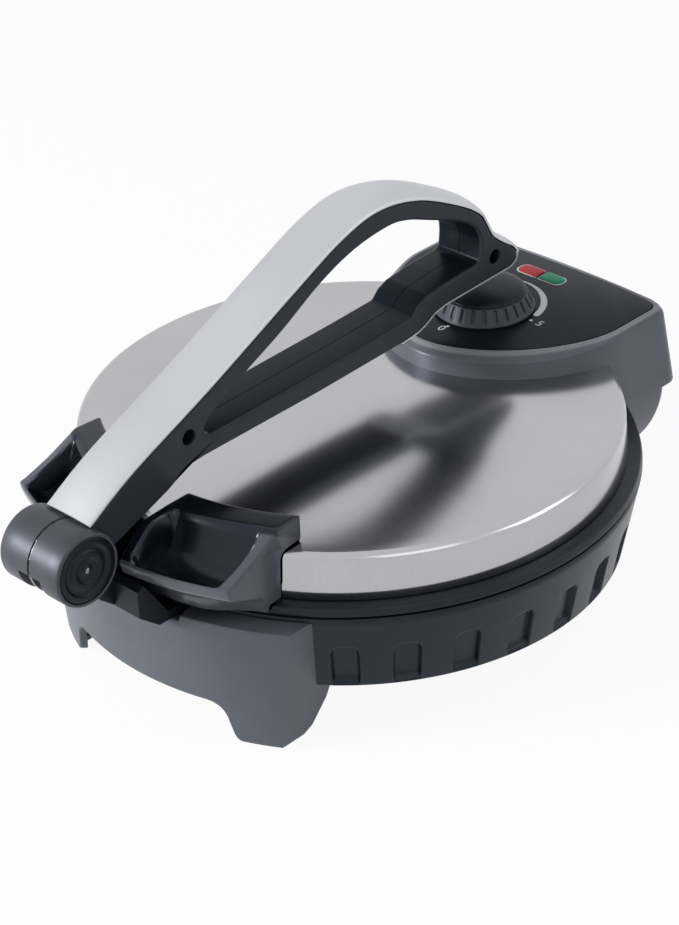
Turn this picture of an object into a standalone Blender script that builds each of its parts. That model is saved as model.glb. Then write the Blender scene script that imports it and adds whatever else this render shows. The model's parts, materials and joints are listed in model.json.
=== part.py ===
"""Electric roti maker: a hinged flat-bread press with a long throw-over lever.

Metres, +Z up. The table is at z = 0, the lever's hub points to -Y and the hinge is at +Y.
All pieces are laid out about the axis of the round plates and then moved by PLATE_AXIS_Y,
so that the origin lies at the bottom centre of the whole object.
"""

import math

import bmesh
import bpy
from mathutils import Matrix, Vector

# Clearances and small common sizes
TOUCH_GAP = 0.0003
SLIDE_GAP = 0.0005
OVERRUN = 0.004
WELD = 0.000001
EDGE_ROUND = 0.0008
WALL = 0.0030
SHEET = 0.0009
LEVER_HALF_WIDTH = 0.0125

# Screws
SCREW_RADIUS = 0.0015
SCREW_HEAD_BORDER = 0.0015
SCREW_HEAD_RADIUS = SCREW_RADIUS + SCREW_HEAD_BORDER
SCREW_HEAD_HEIGHT = 0.0020

# Base bowl
BASE_RIM_RADIUS = 0.1234
BOWL_TAPER = 0.0074
BASE_FOOT_RADIUS = BASE_RIM_RADIUS - BOWL_TAPER
BASE_BOTTOM_Z = 0.0245
BOWL_HEIGHT = 0.0375
PARTING_Z = BASE_BOTTOM_Z + BOWL_HEIGHT
PARTING_GAP = 0.0010
RIM_EDGE = 0.0010
BOWL_WALL = 0.0042
BOWL_LIP = 0.0028
COVER_THICKNESS = 0.0024
FLUTE_WIDTH = 0.0108
FLUTE_DEPTH = 0.0025
FLUTE_HEIGHT = 0.0217
FLUTE_TOP_Z = BASE_BOTTOM_Z + FLUTE_HEIGHT
FLUTE_CORNER = 0.0036
FLUTE_PITCH_DEGREES = 12
FLUTES_EACH_SIDE = 9

# Cooking plates and what lies behind them
PLATE_BORDER = 0.0218
PLATE_RADIUS = BASE_RIM_RADIUS - PLATE_BORDER
PLATE_THICKNESS = 0.0050
PLATE_SKIRT_DEPTH = 0.0092
PLATE_SKIRT_WALL = 0.0031
PLATE_EDGE = 0.0010
ELEMENT_BORDER = 0.0336
ELEMENT_RADIUS = PLATE_RADIUS - ELEMENT_BORDER
ELEMENT_WIDTH = 0.0085
ELEMENT_HEIGHT = 0.0048
PAN_DEPTH = 0.0058
PAN_BORDER = 0.0156
PAN_FLAT_RADIUS = PLATE_RADIUS - PAN_BORDER
PAN_SLOPE_RUN = 0.0070
LEDGE_REACH = 0.0060
LEDGE_WALL = 0.0024

# Front apron with its two feet
APRON_PARTING_DROP = 0.0025
APRON_TOP_Z = PARTING_Z - APRON_PARTING_DROP
APRON_STANDOFF = 0.0091
APRON_TOP_RADIUS = BASE_RIM_RADIUS + APRON_STANDOFF
APRON_TAPER = 0.0038
APRON_FOOT_RADIUS = APRON_TOP_RADIUS - APRON_TAPER
APRON_TOP_HALF_WIDTH = 0.0730
APRON_SIDE_TAPER = 0.0080
APRON_FOOT_HALF_WIDTH = APRON_TOP_HALF_WIDTH - APRON_SIDE_TAPER
APRON_SOLE_Z = 0.0015
APRON_SOLE_THICKNESS = 0.0025
APRON_BACK_DEPTH = 0.0375
APRON_BACK_Y = APRON_BACK_DEPTH - BASE_RIM_RADIUS
ARCH_TOP_Z = 0.0193
LEG_TOP_WIDTH = 0.0210
ARCH_HALF_WIDTH = APRON_FOOT_HALF_WIDTH - LEG_TOP_WIDTH
LEG_FOOT_WIDTH = 0.0143
ARCH_FOOT_HALF_WIDTH = APRON_FOOT_HALF_WIDTH - LEG_FOOT_WIDTH
ARCH_CORNER = 0.0070
FOOT_BACK_SETBACK = 0.0134
FOOT_BACK_Y = APRON_BACK_Y - FOOT_BACK_SETBACK
FOOT_BACK_Z = 0.0039
FOOT_BACK_KNEE_SETBACK = 0.0014
FOOT_BACK_KNEE_Y = APRON_BACK_Y - FOOT_BACK_KNEE_SETBACK
FOOT_BACK_KNEE_Z = 0.0148
FOOT_BACK_SLANT_SETBACK = 0.0087
FOOT_BACK_SLANT_Y = APRON_BACK_Y - FOOT_BACK_SLANT_SETBACK
FRONT_PAD_RADIUS = 0.0048
FRONT_PAD_SIDE = 0.0070
FRONT_PAD_X = APRON_FOOT_HALF_WIDTH - FRONT_PAD_SIDE
FRONT_PAD_SETBACK = 0.0067
FRONT_PAD_Y = FOOT_BACK_Y - FRONT_PAD_SETBACK

# Rear legs under the bowl
REAR_LEG_X = 0.0520
REAR_LEG_SETBACK = 0.0360
REAR_LEG_Y = BASE_FOOT_RADIUS - REAR_LEG_SETBACK
REAR_LEG_TOP_WIDTH = 0.0250
REAR_LEG_TOP_DEPTH = 0.0180
REAR_LEG_FOOT_WIDTH = 0.0190
REAR_LEG_FOOT_DEPTH = 0.0140
REAR_PAD_RADIUS = 0.0055

# Lid ring and brushed cover
RING_SETBACK = 0.0001
RING_RADIUS = BASE_RIM_RADIUS - RING_SETBACK
RING_HEIGHT = 0.0040
RING_TOP_Z = PARTING_Z + RING_HEIGHT
RING_STEP = 0.0007
UPSTAND_HEIGHT = 0.0080
UPSTAND_WALL = 0.0022
RING_FLOOR = 0.0025
LID_SETBACK = 0.0063
LID_WALL_RADIUS = RING_RADIUS - LID_SETBACK
LID_LEAN = 0.0010
LID_SHOULDER_RADIUS = LID_WALL_RADIUS - LID_LEAN
LID_SHOULDER_ROUND = 0.0032
LID_WALL_HEIGHT = 0.0204
LID_EDGE_Z = RING_TOP_Z + LID_WALL_HEIGHT
LID_CROWN = 0.0020

# Lid grips on both sides of the lever
LEVER_SIDE_ROOM = 0.0010
GRIP_INNER_X = LEVER_HALF_WIDTH + LEVER_SIDE_ROOM
GRIP_OUTER_X = 0.0615
GRIP_END_SLANT_DEGREES = 4.0
GRIP_END_SETBACK = 0.0140
GRIP_OVERLAP = 0.0105
GRIP_RIDGE_INNER_RADIUS = LID_SHOULDER_RADIUS - GRIP_OVERLAP
GRIP_RIDGE_WIDTH = 0.0120
GRIP_RIDGE_OUTER_RADIUS = GRIP_RIDGE_INNER_RADIUS + GRIP_RIDGE_WIDTH
GRIP_RIDGE_RISE = 0.0120
GRIP_RIDGE_Z = LID_EDGE_Z + GRIP_RIDGE_RISE
GRIP_SCOOP_DEPTH = 0.0182
GRIP_SCOOP_Z = GRIP_RIDGE_Z - GRIP_SCOOP_DEPTH
GRIP_REACH = 0.0273
GRIP_LIP_RADIUS = GRIP_RIDGE_OUTER_RADIUS + GRIP_REACH
GRIP_LIP_RISE = 0.0056
GRIP_LIP_Z = GRIP_SCOOP_Z + GRIP_LIP_RISE
GRIP_FOOT_STANDOFF = 0.0060
GRIP_FOOT_RADIUS = RING_RADIUS + GRIP_FOOT_STANDOFF
GRIP_EDGE = 0.0012
CHEEK_WIDTH = 0.0045

# Hinge between base and lid
HINGE_STANDOFF = 0.0157
HINGE_Y = RING_RADIUS + HINGE_STANDOFF
HINGE_Z = PARTING_Z - PARTING_GAP / 2
HINGE_PIN_RADIUS = 0.0020
KNUCKLE_WALL = 0.0022
KNUCKLE_RADIUS = HINGE_PIN_RADIUS + KNUCKLE_WALL
LID_KNUCKLE_INNER_X = 0.0220
KNUCKLE_LENGTH = 0.0077
LID_KNUCKLE_OUTER_X = LID_KNUCKLE_INNER_X + KNUCKLE_LENGTH
BASE_KNUCKLE_INNER_X = LID_KNUCKLE_OUTER_X + SLIDE_GAP
BASE_KNUCKLE_OUTER_X = BASE_KNUCKLE_INNER_X + KNUCKLE_LENGTH

# Rear housing of the base
HOUSING_HALF_WIDTH = 0.0630
HOUSING_HINGE_SETBACK = 0.0010
HOUSING_REAR_Y = HINGE_Y - HOUSING_HINGE_SETBACK
HOUSING_ENGAGEMENT = 0.0160
HOUSING_FRONT_Y = BASE_FOOT_RADIUS - HOUSING_ENGAGEMENT
HOUSING_PARTING_DROP = 0.0008
HOUSING_TOP_Z = PARTING_Z - HOUSING_PARTING_DROP
HOUSING_DEPTH = 0.0230
HOUSING_BOTTOM_Z = HOUSING_TOP_Z - HOUSING_DEPTH
HOUSING_TUCK = 0.0170
HOUSING_SIDE_TUCK = 0.0055
HOUSING_CORNER = 0.0060
HOUSING_BOW = 0.0010
INLET_RADIUS = 0.0058
INLET_BORE = 0.0034
INLET_DROP = 0.0112
INLET_Z = HOUSING_TOP_Z - INLET_DROP
INLET_REACH = 0.0040

# Control box on the lid
BOX_CENTRE_SETBACK = 0.0163
BOX_CENTRE_Y = RING_RADIUS - BOX_CENTRE_SETBACK
BOX_RISE = 0.0120
BOX_TOP_Z = LID_EDGE_Z + BOX_RISE
BOX_BEVEL_DROP = 0.0030
BOX_SIDE_OVERHANG = 0.0025
BOX_FOOT_HALF_WIDTH = HOUSING_HALF_WIDTH + BOX_SIDE_OVERHANG
BOX_SIDE_LEAN = 0.0051
BOX_EDGE_HALF_WIDTH = BOX_FOOT_HALF_WIDTH - BOX_SIDE_LEAN
BOX_BEVEL_WIDTH = 0.0014
BOX_TOP_HALF_WIDTH = BOX_EDGE_HALF_WIDTH - BOX_BEVEL_WIDTH
BOX_FOOT_NOSE = 0.0665
BOX_NOSE_LEAN = 0.0003
BOX_EDGE_NOSE = BOX_FOOT_NOSE - BOX_NOSE_LEAN
BOX_NOSE_BEVEL = 0.0042
BOX_TOP_NOSE = BOX_EDGE_NOSE - BOX_NOSE_BEVEL
BOX_HINGE_COVER = 0.0050
BOX_REAR_Y = HINGE_Y + BOX_HINGE_COVER
BOX_REAR_LEAN = 0.0018
BOX_EDGE_REAR_Y = BOX_REAR_Y - BOX_REAR_LEAN
BOX_REAR_BEVEL = 0.0017
BOX_TOP_REAR_Y = BOX_EDGE_REAR_Y - BOX_REAR_BEVEL
BOX_REAR_BOW = 0.0030
BOX_CORNER = 0.0055
BOX_WALL = 0.0026
BOX_FLOOR = 0.0024
PANEL_RIM = 0.0011
PANEL_THICKNESS = 0.0020
PANEL_LEDGE = 0.0030
NOSE_POWER_TOP = 1.70
NOSE_POWER_EDGE = 1.85

# Knob, thermostat and lamps
KNOB_SETBACK = 0.0215
KNOB_Y = BOX_CENTRE_Y - KNOB_SETBACK
KNOB_RADIUS = 0.0228
KNOB_SKIRT_SLOPE = 0.0038
KNOB_SHOULDER_RADIUS = KNOB_RADIUS - KNOB_SKIRT_SLOPE
KNOB_TOP_BORDER = 0.0070
KNOB_TOP_RADIUS = KNOB_SHOULDER_RADIUS - KNOB_TOP_BORDER
KNOB_HEIGHT = 0.0110
KNOB_LIFT = 0.0010
KNOB_RIB_HEIGHT = 0.0074
KNOB_GROOVE_DEPTH = 0.0011
KNOB_RIBS = 26
KNOB_WALL = 0.0018
SHAFT_RADIUS = 0.0030
THERMOSTAT_RADIUS = 0.0110
THERMOSTAT_DROP = 0.0054
THERMOSTAT_TOP_Z = BOX_TOP_Z - THERMOSTAT_DROP
LENS_WIDTH = 0.0115
LENS_DEPTH = 0.0072
LENS_CORNER = 0.0030
LENS_REAR_OFFSET = 0.0181
LENS_Y = BOX_CENTRE_Y + LENS_REAR_OFFSET
POWER_LENS_X = -0.0070
LENS_SPACING = 0.0016
READY_LENS_X = POWER_LENS_X + LENS_WIDTH + LENS_SPACING
LENS_PROUD = 0.0005
LENS_HEIGHT = 0.0045
LAMP_HOLDER_HEIGHT = 0.0060
LAMP_HOLDER_BORDER = 0.0020

# Lever
HUB_STANDOFF = 0.0290
HUB_Y = -APRON_TOP_RADIUS - HUB_STANDOFF
HUB_RISE = 0.0292
HUB_Z = PARTING_Z + HUB_RISE
HUB_RADIUS = 0.0155
HUB_PROUD = 0.0045
HUB_HALF_LENGTH = LEVER_HALF_WIDTH + HUB_PROUD
EYE_HALF_THICKNESS = 0.0008
HUB_PLATE_ROOM = EYE_HALF_THICKNESS + TOUCH_GAP
LEVER_REACH = 0.2551
LEVER_RISE = 0.0861
LEVER_SEAM = 0.00015
LEVER_HOLE_RADIUS = SCREW_HEAD_RADIUS + SLIDE_GAP
LEVER_HOLE_DEPTH = 0.0060
LEVER_SCREW_BORE = SCREW_RADIUS + TOUCH_GAP
LEVER_SCREW_COVER = 0.0040
LEVER_SCREW_LENGTH = LEVER_HALF_WIDTH * 2 - LEVER_HOLE_DEPTH - LEVER_SCREW_COVER
STRIP_EDGE = 0.0012
STRIP_CROWN = 0.0028
SLOT_HALF_WIDTH = 0.0063
SLOT_DEPTH = 0.0032
SLOT_FROM_DEGREES = -173
SLOT_TO_DEGREES = -33
CAP_BORDER = 0.0018
CAP_RADIUS = HUB_RADIUS - CAP_BORDER
CAP_DEPTH = 0.0024
CAP_SETBACK = 0.0004
AXLE_RADIUS = 0.0040

# Bracket and steel eye
EYE_BORDER = 0.0005
EYE_RADIUS = HUB_RADIUS - EYE_BORDER
EYE_STEM_WIDTH = 0.0130
EYE_STEM_LENGTH = 0.0300
EYE_STEM_DEGREES = -50
BRACKET_HALF_WIDTH = 0.0260
BRACKET_WING_WIDTH = 0.0154
BRACKET_ARM_HALF_WIDTH = BRACKET_HALF_WIDTH - BRACKET_WING_WIDTH
BRACKET_FOOT_DROP = 0.0220
BRACKET_FOOT_Z = PARTING_Z - BRACKET_FOOT_DROP
BRACKET_FOOT_DEPTH = 0.0034
BRACKET_LOWER_STANDOFF = 0.0037
BRACKET_LOWER_Y = -APRON_TOP_RADIUS - BRACKET_LOWER_STANDOFF
BRACKET_LOWER_DROP = 0.0050
BRACKET_LOWER_Z = PARTING_Z - BRACKET_LOWER_DROP
BRACKET_NOSE_BACK = 0.0095
BRACKET_NOSE_Y = HUB_Y + BRACKET_NOSE_BACK
BRACKET_NOSE_LOW_DROP = 0.0212
BRACKET_NOSE_LOW_Z = HUB_Z - BRACKET_NOSE_LOW_DROP
BRACKET_NOSE_DROP = 0.0170
BRACKET_NOSE_Z = HUB_Z - BRACKET_NOSE_DROP
BRACKET_TOP_BACK = 0.0189
BRACKET_TOP_Y = HUB_Y + BRACKET_TOP_BACK
BRACKET_TOP_DROP = 0.0126
BRACKET_TOP_Z = HUB_Z - BRACKET_TOP_DROP
BRACKET_HEEL_SETBACK = 0.0013
BRACKET_HEEL_Y = BRACKET_HEEL_SETBACK - APRON_TOP_RADIUS
BRACKET_HEEL_DROP = 0.0010
BRACKET_HEEL_Z = PARTING_Z - BRACKET_HEEL_DROP
BRACKET_WING_BACK = 0.0155
BRACKET_WING_Y = HUB_Y + BRACKET_WING_BACK
BRACKET_SCREW_X = 0.0170
BRACKET_SCREW_RISE = 0.0080
BRACKET_SCREW_Z = BRACKET_FOOT_Z + BRACKET_SCREW_RISE

# Places of the screws in the bottom cover and the lid
COVER_SCREW_BORDER = 0.0160
COVER_SCREW_RING = BASE_FOOT_RADIUS - COVER_SCREW_BORDER
COVER_SCREW_DEGREES = (10, 80, 190, 260)
LID_SCREW_RISE = 0.0040
LID_SCREW_Z = RING_TOP_Z + LID_SCREW_RISE
LID_SCREW_DEGREES = 20

# Facets
ROUND_STEPS = 36
MEDIUM_STEPS = 20
SMALL_STEPS = 16
NOSE_STEPS = 14
ARC_STEPS = 6
CORNER_STEPS = 3
SCREW_STEPS = 8
FULL_TURN = 360
SHARP_ANGLE = math.radians(35)

# Shares of the half width where a bowed rear edge has its points
REAR_BOW_SHARES = (0.5, 0, -0.5)
# Radius shares of the points on the upper and under side of the lid's top
LID_TOP_SHARES = (0, 0.4, 0.75)
LID_UNDER_SHARES = (0, 0.6)
# Share of its crown that the lever's strip keeps at its ends
STRIP_END_SHARE = 0.35
# Back edge of the lever from hub to tip, as shares of its reach and rise from the hub axis
LEVER_BACK_SHARES = (
    (0.027, 0.163), (0.120, 0.321), (0.288, 0.541), (0.471, 0.798), (0.579, 0.942), (0.665, 1.000),
    (0.758, 0.955), (0.858, 0.821), (0.913, 0.684), (0.957, 0.519), (1.000, 0.393),
)
# Under edge of the lever from tip to hub, in the same shares
LEVER_UNDER_SHARES = (
    (0.997, 0.366), (0.982, 0.352), (0.899, 0.351), (0.800, 0.330), (0.771, 0.280), (0.713, 0.244),
    (0.514, 0.222), (0.262, 0.214), (0.222, 0.204), (0.190, 0.143), (0.079, 0.019), (0.030, -0.020),
)
# Opening of the lever, in the same shares
LEVER_OPENING_SHARES = (
    (0.266, 0.352), (0.317, 0.459), (0.412, 0.604), (0.526, 0.784), (0.618, 0.885), (0.693, 0.911),
    (0.780, 0.828), (0.882, 0.677), (0.907, 0.567), (0.915, 0.491), (0.892, 0.451), (0.837, 0.444),
    (0.763, 0.381), (0.685, 0.340), (0.516, 0.328), (0.318, 0.305), (0.276, 0.308),
)
LEVER_SCREW_SHARES = ((0.234, 0.350), (0.942, 0.446))

BASE_RIM_Z = PARTING_Z - PARTING_GAP / 2
LID_FOOT_Z = PARTING_Z + PARTING_GAP / 2
PLATE_AXIS_Y = (HUB_RADIUS - HUB_Y - BOX_REAR_Y) / 2


def clear_scene():
    for item in list(bpy.data.objects):
        bpy.data.objects.remove(item, do_unlink=True)


def finish_look(name, colour, roughness, metallic):
    """A plain Principled material."""
    look = bpy.data.materials.new(name)
    look.use_nodes = True
    shader = look.node_tree.nodes["Principled BSDF"]
    shader.inputs["Base Color"].default_value = (*colour, 1)
    shader.inputs["Roughness"].default_value = roughness
    shader.inputs["Metallic"].default_value = metallic
    look.diffuse_color = (*colour, 1)
    return look


def pivot(name, parent, place):
    """An empty that carries the pieces of one moving body."""
    empty = bpy.data.objects.new(name, None)
    bpy.context.collection.objects.link(empty)
    empty.parent = parent
    empty.location = place
    return empty


def carried_offset(body):
    """Place of a body's empty, measured from the plate axis at table level."""
    place = Vector((0, 0, 0))
    while body.parent:
        place += body.location
        body = body.parent
    return place


def piece(name, shape, look, body):
    """Object of a shape laid out about the plate axis and carried by the empty of its body."""
    mesh = bpy.data.meshes.new(name)
    shape.to_mesh(mesh)
    shape.free()
    mesh.materials.append(look)
    mesh.shade_smooth()
    mesh.set_sharp_from_angle(angle=SHARP_ANGLE)
    item = bpy.data.objects.new(name, mesh)
    bpy.context.collection.objects.link(item)
    item.parent = body
    item.location = -carried_offset(body)
    return item


def copies(names, shape, places, look, body):
    """Separate objects that share one mesh, one at each place about the plate axis."""
    first = piece(names[0], shape, look, body)
    items = [first]
    for name in names[1:]:
        item = bpy.data.objects.new(name, first.data)
        bpy.context.collection.objects.link(item)
        item.parent = body
        items.append(item)
    for item, place in zip(items, places):
        item.matrix_local = Matrix.Translation(-carried_offset(body)) @ place
    return items


def combine(target, tool, operation):
    """Boolean of a target with a tool object, which stays in the file as a hidden guide."""
    tool.hide_render = True
    tool.display_type = "WIRE"
    step = target.modifiers.new(operation.title(), "BOOLEAN")
    step.operation = operation
    step.solver = "EXACT"
    step.object = tool
    seam = target.modifiers.new("Weld", "WELD")
    seam.merge_threshold = WELD


def arc_points(centre, radius, start, end, steps):
    """Points of an arc in a plane; angles in degrees."""
    points = []
    for i in range(steps + 1):
        angle = math.radians(start + (end - start) * i / steps)
        points.append((centre[0] + radius * math.cos(angle), centre[1] + radius * math.sin(angle)))
    return points


def circle_points(centre, radius, steps):
    """Points of a full circle, without a repeated end."""
    return arc_points(centre, radius, 0, FULL_TURN, steps)[:-1]


def smooth_points(points, steps, closed=False):
    """Catmull-Rom curve through the given points, with some steps between each two."""
    count = len(points)
    result = []
    spans = count if closed else count - 1
    for i in range(spans):
        if closed:
            four = [points[(i + k) % count] for k in (-1, 0, 1, 2)]
        else:
            four = [points[min(max(i + k, 0), count - 1)] for k in (-1, 0, 1, 2)]
        a, b, c, d = [Vector(p) for p in four]
        for k in range(steps):
            t = k / steps
            first = a.lerp(b, t + 1)
            second = b.lerp(c, t)
            third = c.lerp(d, t - 1)
            result.append(tuple(first.lerp(second, (t + 1) / 2).lerp(second.lerp(third, t / 2), t)))
    if not closed:
        result.append(tuple(points[-1]))
    return result


def turned(outline, steps=ROUND_STEPS, start=0.0, sweep=2 * math.pi):
    """Solid turned about Z from (radius, z) points; an outline may start and end on the axis."""
    shape = bmesh.new()
    vertices = [shape.verts.new((r * math.cos(start), r * math.sin(start), z)) for r, z in outline]
    edges = [shape.edges.new(pair) for pair in zip(vertices, vertices[1:])]
    if outline[0][0] > 0 or outline[-1][0] > 0:
        edges.append(shape.edges.new((vertices[-1], vertices[0])))
    whole = sweep >= 2 * math.pi
    if not whole:
        shape.faces.new(vertices)
    bmesh.ops.spin(shape, geom=vertices + edges, cent=(0, 0, 0), axis=(0, 0, 1), angle=sweep,
                   steps=steps, use_merge=whole)
    if not whole:
        ends = [edge for edge in shape.edges if edge.is_boundary]
        bmesh.ops.holes_fill(shape, edges=ends)
    bmesh.ops.remove_doubles(shape, verts=shape.verts, dist=WELD)
    bmesh.ops.recalc_face_normals(shape, faces=shape.faces)
    return shape


def prism(outline, low, high, axis):
    """Solid of an outline carried along one axis, from low to high."""
    shape = bmesh.new()
    step = {"X": Vector((1, 0, 0)), "Y": Vector((0, 1, 0)), "Z": Vector((0, 0, 1))}[axis]
    corners = []
    for a, b in outline:
        flat = {"X": Vector((0, a, b)), "Y": Vector((a, 0, b)), "Z": Vector((a, b, 0))}[axis]
        corners.append(shape.verts.new(flat + step * low))
    face = shape.faces.new(corners)
    grown = bmesh.ops.extrude_face_region(shape, geom=[face])
    moved = [part for part in grown["geom"] if isinstance(part, bmesh.types.BMVert)]
    bmesh.ops.translate(shape, verts=moved, vec=step * (high - low))
    bmesh.ops.recalc_face_normals(shape, faces=shape.faces)
    return shape


def box_shape(low, high):
    """Box between two corners."""
    (x0, y0, z0), (x1, y1, z1) = low, high
    return prism([(x0, y0), (x1, y0), (x1, y1), (x0, y1)], z0, z1, "Z")


def loft(sections):
    """Solid through closed sections with equal numbers of points."""
    shape = bmesh.new()
    rings = [[shape.verts.new(point) for point in section] for section in sections]
    count = len(rings[0])
    for lower, upper in zip(rings, rings[1:]):
        for i in range(count):
            k = (i + 1) % count
            shape.faces.new((lower[i], lower[k], upper[k], upper[i]))
    shape.faces.new(rings[0])
    shape.faces.new(rings[-1])
    bmesh.ops.recalc_face_normals(shape, faces=shape.faces)
    return shape


def spread(shape, places):
    """One mesh with a separate copy of a shape at each place."""
    mesh = bpy.data.meshes.new("spread")
    shape.to_mesh(mesh)
    shape.free()
    group = bmesh.new()
    for place in places:
        start = len(group.verts)
        group.from_mesh(mesh)
        group.verts.ensure_lookup_table()
        bmesh.ops.transform(group, matrix=place, verts=group.verts[start:])
    bpy.data.meshes.remove(mesh)
    return group


def moved(shape, matrix):
    bmesh.ops.transform(shape, matrix=matrix, verts=shape.verts)
    return shape


def along_x(shape):
    """Turns a solid about Z into one about X, with its top at +X."""
    return moved(shape, Matrix.Rotation(math.pi / 2, 4, "Y"))


def around_z(degrees):
    return Matrix.Rotation(math.radians(degrees), 4, "Z")


def screw(length):
    """Pan-head screw about Z: the head's underside at z = 0, the shank below it."""
    head = SCREW_HEAD_HEIGHT
    outline = [
        (0, head), (SCREW_HEAD_RADIUS, head / 2), (SCREW_HEAD_RADIUS, 0), (SCREW_RADIUS, 0),
        (SCREW_RADIUS, -length), (0, -length - SCREW_RADIUS),
    ]
    return turned(outline, SCREW_STEPS)


# Base


def bowl_radius(z):
    """Outer radius of the bowl's tapering wall at a height."""
    share = (z - BASE_BOTTOM_Z) / (BASE_RIM_Z - BASE_BOTTOM_Z)
    return BASE_FOOT_RADIUS + (BASE_RIM_RADIUS - BASE_FOOT_RADIUS) * share


def bowl_envelope(look, base):
    """Outside of the bowl with a gap, as a tool for the pieces that seat on it."""
    low = BASE_BOTTOM_Z - TOUCH_GAP
    high = BASE_RIM_Z + OVERRUN
    outline = [
        (0, high), (bowl_radius(high) + TOUCH_GAP, high), (bowl_radius(low) + TOUCH_GAP, low), (0, low),
    ]
    tool = piece("bowl_envelope", turned(outline), look, base)
    tool.hide_render = True
    tool.display_type = "WIRE"
    return tool


def ledge_z():
    """Height of the bowl's inner ledge, under the flange of the heat shield."""
    return BASE_RIM_Z - PLATE_SKIRT_DEPTH - SHEET - TOUCH_GAP * 2


def flute_cutter():
    """Rounded slot cutters that lean with the bowl's wall, at every pitch on both sides."""
    lean = math.atan((BASE_RIM_RADIUS - BASE_FOOT_RADIUS) / (BASE_RIM_Z - BASE_BOTTOM_Z))
    half = FLUTE_WIDTH / 2
    rise = FLUTE_TOP_Z - BASE_BOTTOM_Z
    outline = [(half, -OVERRUN), (half, rise - FLUTE_CORNER)]
    corner = rise - FLUTE_CORNER
    outline += arc_points((half - FLUTE_CORNER, corner), FLUTE_CORNER, 0, 90, 2)[1:]
    outline += arc_points((FLUTE_CORNER - half, corner), FLUTE_CORNER, 90, 180, 2)
    outline += [(-half, -OVERRUN)]
    cutter = prism(outline, -FLUTE_DEPTH, OVERRUN, "Y")
    turn_out = Matrix.Rotation(math.radians(-90), 4, "Z")
    tilt = Matrix.Rotation(lean, 4, "Y")
    to_wall = Matrix.Translation((BASE_FOOT_RADIUS, 0, BASE_BOTTOM_Z)) @ tilt @ turn_out
    places = []
    for side in (0, 180):
        for i in range(FLUTES_EACH_SIDE):
            angle = side + FLUTE_PITCH_DEGREES * (i - FLUTES_EACH_SIDE // 2)
            places.append(around_z(angle) @ to_wall)
    return spread(cutter, places)


def make_base_bowl(look, base):
    """Moulded shell with a flanged rim, an inner ledge for the plate and a lip for the cover."""
    inner_top = bowl_radius(BASE_RIM_Z) - BOWL_WALL
    inner_foot = BASE_FOOT_RADIUS - BOWL_WALL
    lip_z = BASE_BOTTOM_Z + COVER_THICKNESS + TOUCH_GAP * 2
    well = PLATE_RADIUS + TOUCH_GAP * 2
    ledge = ledge_z()
    outline = [
        (bowl_radius(BASE_RIM_Z) - RIM_EDGE, BASE_RIM_Z), (bowl_radius(BASE_RIM_Z), BASE_RIM_Z - RIM_EDGE),
        (BASE_FOOT_RADIUS, BASE_BOTTOM_Z), (inner_foot, BASE_BOTTOM_Z), (inner_foot, lip_z),
        (inner_foot - BOWL_LIP, lip_z), (inner_foot - BOWL_LIP, lip_z + LEDGE_WALL),
        (inner_foot + TOUCH_GAP, lip_z + LEDGE_WALL), (inner_top, BASE_RIM_Z - LEDGE_WALL),
        (well + LEDGE_WALL, BASE_RIM_Z - LEDGE_WALL), (well + LEDGE_WALL, ledge - LEDGE_WALL),
        (well - LEDGE_REACH, ledge - LEDGE_WALL), (well - LEDGE_REACH, ledge), (well, ledge),
        (well, BASE_RIM_Z),
    ]
    bowl = piece("base_bowl", turned(outline), look, base)
    combine(bowl, piece("flute_tool", flute_cutter(), look, base), "DIFFERENCE")
    bores = prism(circle_points((0, 0), SCREW_RADIUS + TOUCH_GAP, SCREW_STEPS), -BASE_RIM_RADIUS - OVERRUN,
                  -PLATE_RADIUS - OVERRUN, "Y")
    places = [Matrix.Translation((side * BRACKET_SCREW_X, 0, BRACKET_SCREW_Z)) for side in (-1, 1)]
    combine(bowl, piece("bowl_bore_tool", spread(bores, places), look, base), "DIFFERENCE")
    return bowl


def make_bottom_cover(look, base):
    """Closing disc that sits in the bowl's foot, with holes for its screws."""
    radius = BASE_FOOT_RADIUS - BOWL_WALL - TOUCH_GAP
    top = BASE_BOTTOM_Z + COVER_THICKNESS + TOUCH_GAP
    low = BASE_BOTTOM_Z + TOUCH_GAP
    cover = piece("bottom_cover", turned([(0, top), (radius, top), (radius, low), (0, low)]), look, base)
    circle = circle_points((0, 0), SCREW_RADIUS + TOUCH_GAP, SCREW_STEPS)
    hole = prism(circle, low - OVERRUN, top + OVERRUN, "Z")
    combine(cover, piece("cover_hole_tool", spread(hole, cover_screw_places(0)), look, base), "DIFFERENCE")
    return cover


def cover_screw_places(z):
    """Four places on a ring, clear of the feet."""
    return [around_z(angle) @ Matrix.Translation((COVER_SCREW_RING, 0, z)) for angle in COVER_SCREW_DEGREES]


def make_bottom_screws(look, base):
    flip = Matrix.Rotation(math.pi, 4, "X")
    places = [place @ flip for place in cover_screw_places(BASE_BOTTOM_Z)]
    names = ["bottom_screw_" + str(number) for number in (1, 2, 3, 4)]
    return copies(names, screw(WALL * 3), places, look, base)


def plate_outline(sign):
    """Cooking plate with a skirt; sign is -1 below the parting plane and +1 above it."""
    face = PARTING_Z + sign * PARTING_GAP / 2
    back = face + sign * PLATE_THICKNESS
    end = face + sign * PLATE_SKIRT_DEPTH
    inside = PLATE_RADIUS - PLATE_SKIRT_WALL
    return [
        (0, face), (PLATE_RADIUS - PLATE_EDGE, face), (PLATE_RADIUS, face + sign * PLATE_EDGE),
        (PLATE_RADIUS, end), (inside, end), (inside, back), (0, back),
    ]


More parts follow.
